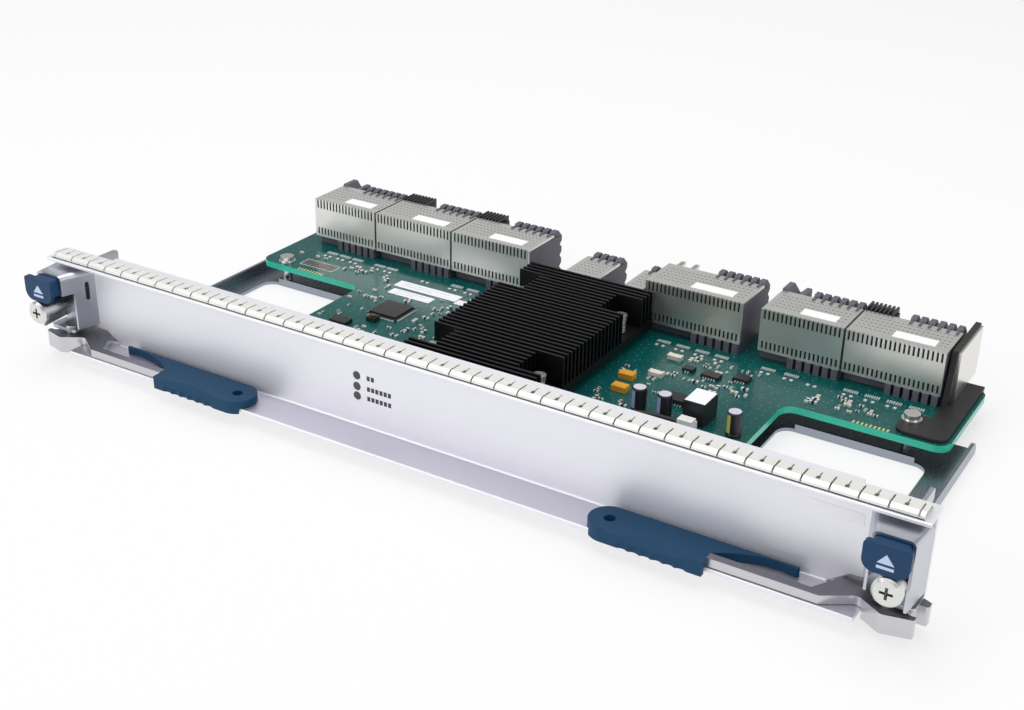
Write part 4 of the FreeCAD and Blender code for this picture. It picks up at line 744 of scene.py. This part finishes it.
@dataclass
class ConnectorTrim:
    """Painted shade inside the covers' slits and seams, with painted shadow strips along the seams, and the
    small punched dashes on their roofs.
    """

    spans: tuple = ((-166.5, -127.7), (-127.7, -81.9), (-81.9, -37.2), (24.0, 72.5), (80.3, 118.8),
                    (118.8, 162.6))
    low_spans: tuple = ((-19.0, -0.6), (12.0, 22.4))
    top: float = 35.8
    low_top: float = 29.6
    front: float = 139.6
    # Painted shade: depths behind the cover's front of the dark fills in its slits
    liner: tuple[float, float] = (0.42, 0.75)
    side_gap: float = 1.4
    slit_heights: tuple[float, float] = (17.1, 20.7)
    upper_slit: float = 4.6
    sheet: float = 0.8
    dash_rows: tuple = (6.2, 9.4, 12.6, 15.8, 19.0)
    dash: tuple[float, float] = (1.0, 0.5)
    pitch: float = 2.0
    ink: float = 0.02
    # Seams between covers: a dark fill of painted shade in each gap, and a wider strip of painted shadow on
    # the front and the roof
    seams: tuple = (-127.7, -81.9, 118.8)
    seam: float = 0.6
    shadow: float = 1.0
    rear: float = 162.0

    def build(self) -> None:
        """Paint shade into the slits and seams with dark fills and strips, and mark the roofs."""
        shade_fills, dashes = Mesh(), Mesh()
        covers = [(span, self.top) for span in self.spans] + [(span, self.low_top) for span in self.low_spans]
        for (x0, x1), top in covers:
            y0, y1 = (self.front + d for d in self.liner)
            for z0, z1 in (self.slit_heights, (top - self.upper_slit, top - self.sheet)):
                shade_fills.box((x0 + self.side_gap, y0, z0), (x1 - self.side_gap, y1, z1))
            count = int((x1 - x0 - 2 * self.side_gap) / self.pitch)
            start = (x0 + x1 - (count - 1) * self.pitch) / 2
            for row in self.dash_rows:
                for k in range(count):
                    dashes.block(start + k * self.pitch, self.front + row, top, (*self.dash, self.ink))
        for x in self.seams:
            shade_fills.box((x - self.seam / 2, self.front + self.sheet, self.slit_heights[0]),
                       (x + self.seam / 2, self.rear, self.top - self.seam))
            x0, x1 = x - self.shadow / 2, x + self.shadow / 2
            shade_fills.box((x0, self.front - self.ink, self.slit_heights[0]), (x1, self.front, self.top))
            shade_fills.box((x0, self.front, self.top), (x1, self.rear, self.top + self.ink))
        # The black polymer finish here is painted shade, set where only shade falls
        shade_fills.make("slit_liners", BLACK)
        dashes.make("roof_dashes", SLATE)


@dataclass
class BoardParts:
    """Small soldered parts, lands and prints on the board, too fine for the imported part."""

    # Board's top face, seed of the scattered places and the grid that they keep to
    top: float = 11.1
    seed: int = 11
    grid: float = 2.6
    # Areas that chip parts are scattered over, as x0, y0, x1, y1 and how many are tried
    zones: tuple = ((-110, 20, -38, 126, 210), (34, 62, 60, 108, 40), (56, 100, 92, 126, 50),
                    (-172, 118, -116, 125, 20), (112, 114, 172, 125, 30))
    # Areas that larger parts stand on, as x0, y0, x1, y1
    taken: tuple = (
        (-37, 24, 33, 141), (-96, 80, -70, 103), (-102, 64, -89, 73), (56, 109, 79, 117), (79, 113, 89, 121),
        (63, 79, 75, 89), (36, 77, 49, 96), (54, 63, 76, 74), (95, 65, 106, 76), (76, 58, 91, 84),
        (-92, 72, -77, 85), (-102, 116, -63, 125), (-99, 107, -73, 116), (-65, 114, -58, 121),
        (-169, 106, -157, 118), (148, 110, 168, 130), (-158, 111, -134, 123), (88, 18, 100, 30),
        (-100, 18, -88, 30), (-155, 106, -135, 111), (134, 106, 154, 111), (46, 117, 55, 122),
        (46, 98, 56, 103))
    # Chip parts: length, width and height, share of tan ones and of those along X, and their tin ends
    sizes: tuple = ((1.6, 0.8, 0.6), (2.0, 1.2, 0.8), (2.0, 1.2, 0.8), (3.2, 1.6, 0.9))
    tan_share: float = 0.4
    along_share: float = 0.5
    end_share: float = 0.3
    end_grow: float = 0.04
    # Pale parts beside the cans, and the share of the inductor's width that its core takes
    cream: tuple = ((50.6, 119.7), (50.8, 100.7))
    cream_size: tuple[float, float, float] = (5.6, 3.2, 2.0)
    cream_end: float = 1.0
    cream_grow: float = 0.1
    cream_edge: float = 0.15
    core_share: float = 0.3
    # Tinned lands before each connector: x0, x1 and groups, then y, lands, pitch and size of each row
    groups: tuple = ((-162, -130, 4), (-124, -86, 5), (-78, -42, 4), (34, 72, 4), (84, 116, 3), (122, 160, 4))
    land_rows: tuple = ((128.4, 2, 3.2, (1.3, 1.5, 0.4)), (132.8, 7, 0.95, (0.5, 2.2, 0.4)))
    land_skip: float = 0.2
    # Gold pads at the wings' edges, and one bare footprint as x, y, width and depth
    pads: tuple = ((-145.0, 108.1), (144.0, 108.1))
    pad: tuple[float, float, float] = (0.9, 2.2, 0.04)
    pad_count: int = 9
    pad_pitch: float = 1.8
    footprint: tuple = (-146.0, 117.0, 20.0, 7.0)
    spot: tuple[float, float] = (1.1, 1.7)
    spot_count: int = 10
    spot_offset: float = 1.5
    frame_line: float = 0.3
    # Chips as x, y, width, depth, pitch and width of a lead, and a lead's reach and height
    chips: tuple = ((-82.8, 91.0, 16.4, 16.4, 0.8, 0.35), (-95.3, 68.5, 9.0, 6.0, 1.27, 0.45),
                    (60.6, 113.0, 5.0, 4.0, 1.27, 0.45), (71.4, 112.5, 8.0, 5.0, 1.27, 0.45),
                    (83.7, 117.0, 7.0, 5.0, 1.27, 0.45), (69.0, 84.0, 9.0, 7.0, 1.27, 0.45))
    leg: tuple[float, float] = (1.0, 0.5)
    # Cans with their bare tops, and the stripe of print and painted highlight by its heights and its arc in
    # degrees
    cans: tuple = ((59.0, 68.0), (70.4, 68.2), (100.4, 70.0))
    can_radius: float = 3.15
    can_top: float = 22.1
    can_rim: float = 0.5
    stripe: tuple[float, float] = (13.2, 21.2)
    stripe_arc: tuple[float, float] = (222.0, 262.0)
    stripe_steps: int = 12
    # Power module's top as x, y, z, width and depth
    module: tuple = (83.2, 75.0, 21.5, 9.0, 12.0)
    # Board labels as x, y and length, with plain lines at these offsets and shares of the length
    labels: tuple = ((-82.5, 120.5, 30.0), (-86.0, 111.5, 19.0))
    label_rows: tuple = ((1.2, 0.9), (-1.0, 0.6))
    label_paper: float = 0.15
    label_line: float = 0.5
    # Thickness of a printed film
    film: float = 0.03

    def free(self, x: float, y: float) -> bool:
        """Tell whether a place on the board is clear of larger parts."""
        return not any(a < x < c and b < y < d for a, b, c, d in self.taken)

    def chip_part(self, meshes: tuple[Mesh, Mesh, Mesh], x: float, y: float, rng: random.Random) -> None:
        """Solder one chip part with two tin ends.

        Args:
            meshes: Tan bodies, black bodies and tin ends.
            x: Its place along X.
            y: Its place along Y.
            rng: Seeded source of its size, kind and turn.
        """
        tan, black, ends = meshes
        length, width, height = rng.choice(self.sizes)
        body = tan if rng.random() < self.tan_share else black
        lies_along_x = rng.random() < self.along_share
        cap = length * self.end_share
        pieces = ((body, length - 2 * cap, 0.0, 0.0), (ends, cap, (length - cap) / 2, self.end_grow),
                  (ends, cap, (cap - length) / 2, self.end_grow))
        for mesh, span, offset, grow in pieces:
            size = (span, width + grow) if lies_along_x else (width + grow, span)
            place = (x + offset, y) if lies_along_x else (x, y + offset)
            mesh.block(*place, self.top, (*size, height + grow))

    def soldered(self) -> None:
        """Scatter chip parts over the free zones and set the rows of tinned lands before the connectors."""
        rng = random.Random(self.seed)
        meshes = (Mesh(), Mesh(), Mesh())
        used = set()
        for x0, y0, x1, y1, count in self.zones:
            for _ in range(count):
                x, y = (round(rng.uniform(a, b) / self.grid) * self.grid for a, b in ((x0, x1), (y0, y1)))
                if self.free(x, y) and (x, y) not in used:
                    used.add((x, y))
                    self.chip_part(meshes, x, y, rng)
        for x0, x1, count in self.groups:
            for row, lands, pitch, size in self.land_rows:
                for g in range(count):
                    x = x0 + (x1 - x0) * (g + 0.5) / count - (lands - 1) * pitch / 2
                    if not self.free(x, row) or rng.random() < self.land_skip:
                        continue
                    for k in range(lands):
                        meshes[2].block(x + k * pitch, row, self.top, size)
        for mesh, name, finish in zip(meshes, ("tan_chip_parts", "black_chip_parts", "tin_ends"),
                                      (CERAMIC, RESIN, SOLDER)):
            mesh.make(name, finish)

    def lands(self) -> None:
        """Lay the bare lands: gold edge pads and one unfilled copper footprint with its printed frame."""
        gold, copper, frame = Mesh(), Mesh(), Mesh()
        for x, y in self.pads:
            for k in range(self.pad_count):
                gold.block(x + (k - (self.pad_count - 1) / 2) * self.pad_pitch, y, self.top, self.pad)
        x, y, width, depth = self.footprint
        for k in range(self.spot_count):
            for row in (-self.spot_offset, self.spot_offset):
                copper.block(x + (k - (self.spot_count - 1) / 2) * self.pad_pitch, y + row, self.top,
                             (*self.spot, self.film))
        line = self.frame_line
        for dx, dy, w, d in ((0, depth / 2, width, line), (0, -depth / 2, width, line),
                             (width / 2, 0, line, depth), (-width / 2, 0, line, depth)):
            frame.block(x + dx, y + dy, self.top, (w, d, self.film))
        gold.make("gold_edge_pads", GOLD)
        copper.make("bare_footprint", COPPER)
        frame.make("footprint_frame", PALE_PRINT)

    def cream_parts(self) -> None:
        """Solder the two pale parts beside the cans, and crown the inductor with its red core."""
        bodies, ends, core = Mesh(), Mesh(), Mesh()
        width, depth, height = self.cream_size
        for x, y in self.cream:
            bodies.block(x, y, self.top, self.cream_size)
            for way in (-1, 1):
                ends.block(x + way * width / 2, y, self.top,
                           (self.cream_end, depth + self.cream_grow, height + self.cream_grow))
        lo, hi = (Vector(p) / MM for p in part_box("shielded_inductor"))
        middle = (lo + hi) / 2
        radius = (hi.x - lo.x) * self.core_share
        core.prism(circle(middle.x, middle.y - WEB_Y, radius), "Z", hi.z, hi.z + self.film)
        bodies.make("cream_chip_parts", CREAM, bevel=self.cream_edge)
        ends.make("cream_part_ends", SOLDER)
        core.make("inductor_core", RED)

    def legs(self) -> None:
        """Set the leads round each chip."""
        mesh = Mesh()
        reach, height = self.leg
        for x, y, width, depth, pitch, lead in self.chips:
            along = int((width - pitch) / pitch)
            steps = [(k - (along - 1) / 2) * pitch for k in range(along)]
            for step in steps:
                for way in (-1, 1):
                    mesh.block(x + step, y + way * (depth + reach) / 2, self.top, (lead, reach, height))
            if width != depth:
                continue
            for step in steps:
                for way in (-1, 1):
                    mesh.block(x + way * (width + reach) / 2, y + step, self.top, (reach, lead, height))
        mesh.make("chip_legs", SOLDER)

    def tops(self) -> None:
        """Finish the cans with their stripes of print and painted highlight, the power module's top and the
        blank labels.
        """
        metal, lavender, yellow, white, lines = (Mesh() for _ in range(5))
        for (x, y), stripe in zip(self.cans, (lavender, lavender, yellow)):
            lid = circle(x, y, self.can_radius - self.can_rim)
            metal.prism(lid, "Z", self.can_top, self.can_top + self.film)
            outer = circle(x, y, self.can_radius + self.film, *self.stripe_arc, self.stripe_steps)
            inner = circle(x, y, self.can_radius, *self.stripe_arc, self.stripe_steps)
            stripe.prism(outer + inner[::-1], "Z", *self.stripe)
        x, y, z, width, depth = self.module
        white.block(x, y, z, (width, depth, self.film))
        for x, y, width in self.labels:
            for dy, share in self.label_rows:
                lines.block(x - width * (1 - share) / 2, y + dy, self.top + self.label_paper,
                            (width * share, self.label_line, self.film))
        metal.make("can_tops", BARE_ALUMINIUM)
        lavender.make("can_stripes", STRIPE)
        yellow.make("end_can_stripe", YELLOW_STRIPE)
        white.make("module_top", PAPER)
        lines.make("label_lines", INK)

    def build(self) -> None:
        """Make every small part of the board."""
        self.soldered()
        self.lands()
        self.cream_parts()
        self.legs()
        self.tops()


@dataclass
class Studio:
    """Pale floor, soft lamps and a camera that stands where the photographer did."""

    # Camera: place in millimetres, angles in degrees, lens and sensor, and nearest view in metres
    place: tuple[float, float, float] = (286.94, -409.44 + WEB_Y, 292.68)
    azimuth: float = 31.21
    elevation: float = 26.05
    roll: float = -1.10
    lens: float = 50.96
    sensor: float = 36.0
    nearest: float = 0.01
    # Level of the room in reflections by the height of their direction, and level of its plain light
    room: tuple = ((0.0, 1.0), (0.14, 0.95), (0.32, 0.36), (0.6, 0.34), (0.85, 1.0))
    light_level: float = 0.55
    # Floor: its finish, half its side and its drop in metres, and the share of it that shows plain white
    floor: Finish = Finish("pale_studio_floor", "#F4F4F5", 0.0, 0.7, tone=0.0)
    floor_half: float = 4.0
    floor_drop: float = 0.0002
    floor_glow: float = 0.68
    white: str = "#FFFFFF"
    # Lamps as name, place and aim in metres, side of the square in metres and watts
    lamps: tuple = (("overhead", (-0.2, 0.1, 1.3), (0.0, 0.0, 0.0), 1.2, 9.0),
                    ("front_left", (-0.9, -1.2, 0.7), (0.0, -0.05, 0.03), 0.9, 6.0),
                    ("right", (1.1, -0.3, 0.6), (0.1, 0.0, 0.03), 0.7, 2.0))

    def camera(self) -> None:
        """Set the camera by its measured place and angles."""
        data = bpy.data.cameras.new("camera")
        data.sensor_width = self.sensor
        data.sensor_fit = "HORIZONTAL"
        data.lens = self.lens
        data.clip_start = self.nearest
        obj = bpy.data.objects.new("camera", data)
        bpy.context.scene.collection.objects.link(obj)
        az, el, roll = (math.radians(a) for a in (self.azimuth, self.elevation, self.roll))
        forward = Vector((-math.sin(az) * math.cos(el), math.cos(az) * math.cos(el), -math.sin(el)))
        right = forward.cross(Vector((0, 0, 1))).normalized()
        down = forward.cross(right)
        turned = right * math.cos(roll) + down * math.sin(roll)
        up = -(down * math.cos(roll) - right * math.sin(roll))
        frame = Matrix((turned, up, -forward)).transposed().to_4x4()
        obj.matrix_world = Matrix.Translation([c * MM for c in self.place]) @ frame
        bpy.context.scene.camera = obj

    def lamp(self, name: str, place: tuple, aim: tuple, size: float, watts: float) -> None:
        """Hang a soft square lamp.

        Args:
            name: Name of the lamp.
            place: Where it hangs, in metres.
            aim: Where it points, in metres.
            size: Side of its square in metres.
            watts: Its power.
        """
        data = bpy.data.lights.new(name, "AREA")
        data.size = size
        data.energy = watts
        obj = bpy.data.objects.new(name, data)
        obj.location = place
        obj.rotation_euler = (Vector(aim) - Vector(place)).to_track_quat("-Z", "Y").to_euler()
        bpy.context.scene.collection.objects.link(obj)

    def seen(self, tree: bpy.types.NodeTree) -> bpy.types.NodeSocket:
        """Pick out the rays that show the background: from the camera, from a mirror or through glass.

        Args:
            tree: Node tree of the floor or the world.

        Returns:
            Socket that is one for such a ray.
        """
        path = add_node(tree, "ShaderNodeLightPath")
        direct = add_node(tree, "ShaderNodeMath", {"operation": "MAXIMUM"},
                          {0: path.outputs["Is Camera Ray"], 1: path.outputs["Is Glossy Ray"]})
        return add_node(tree, "ShaderNodeMath", {"operation": "MAXIMUM"},
                        {0: direct.outputs[0], 1: path.outputs["Is Transmission Ray"]}).outputs[0]

    def world(self) -> None:
        """White surroundings, a dim band of the room in reflections, and a softer level for the light."""
        world = bpy.data.worlds.new("studio")
        bpy.context.scene.world = world
        world.use_nodes = True
        tree = world.node_tree
        tree.nodes.clear()
        path = add_node(tree, "ShaderNodeLightPath")
        place = add_node(tree, "ShaderNodeTexCoord")
        height = add_node(tree, "ShaderNodeSeparateXYZ", None, {"Vector": place.outputs["Generated"]})
        room = add_node(tree, "ShaderNodeValToRGB", None, {"Fac": height.outputs["Z"]})
        ramp = room.color_ramp
        ramp.elements[0].position, ramp.elements[1].position = self.room[0][0], self.room[-1][0]
        for spot, _ in self.room[1:-1]:
            ramp.elements.new(spot)
        for element, (_, grey) in zip(ramp.elements, self.room):
            element.color = (grey, grey, grey, 1.0)
        shown = add_node(tree, "ShaderNodeMix", {"data_type": "FLOAT"},
                         {0: path.outputs["Is Glossy Ray"], 2: 1.0, 3: room.outputs["Color"]})
        level = add_node(tree, "ShaderNodeMix", {"data_type": "FLOAT"},
                         {0: self.seen(tree), 2: self.light_level, 3: shown.outputs[0]})
        back = add_node(tree, "ShaderNodeBackground", None,
                        {"Color": linear(self.white), "Strength": level.outputs[0]})
        add_node(tree, "ShaderNodeOutputWorld", None, {"Surface": back.outputs[0]})

    def ground(self) -> None:
        """Lay the floor under the module."""
        half = self.floor_half
        data = bpy.data.meshes.new("floor")
        square = ((-half, -half), (half, -half), (half, half), (-half, half))
        corners = [(x, y, -self.floor_drop) for x, y in square]
        data.from_pydata(corners, [], [(0, 1, 2, 3)])
        obj = bpy.data.objects.new("floor", data)
        bpy.context.scene.collection.objects.link(obj)
        mat = self.floor.material()
        data.materials.append(mat)
        tree = mat.node_tree
        shader = next(n for n in tree.nodes if n.type == "BSDF_PRINCIPLED")
        out = next(n for n in tree.nodes if n.type == "OUTPUT_MATERIAL")
        glow = add_node(tree, "ShaderNodeEmission", None, {"Color": linear(self.white), "Strength": 1.0})
        share = add_node(tree, "ShaderNodeMath", {"operation": "MULTIPLY"},
                         {0: self.seen(tree), 1: self.floor_glow})
        mix = add_node(tree, "ShaderNodeMixShader", None,
                       {0: share.outputs[0], 1: shader.outputs[0], 2: glow.outputs[0]})
        tree.links.new(mix.outputs[0], out.inputs["Surface"])

    def build(self) -> None:
        """Set up the floor, the lamps, the world and the camera."""
        bpy.context.scene.view_settings.view_transform = "Standard"
        self.ground()
        self.world()
        for lamp in self.lamps:
            self.lamp(*lamp)
        self.camera()


def main() -> None:
    """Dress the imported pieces, add the fine ones and set up the studio."""
    logging.basicConfig(level=logging.INFO, format="%(name)s %(message)s")
    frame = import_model()
    Dresser(frame).dress()
    PanelMarks().build()
    Springs().build()
    ConnectorTrim().build()
    BoardParts().build()
    Studio().build()
    bpy.context.view_layer.update()


if __name__ == "__main__":
    main()
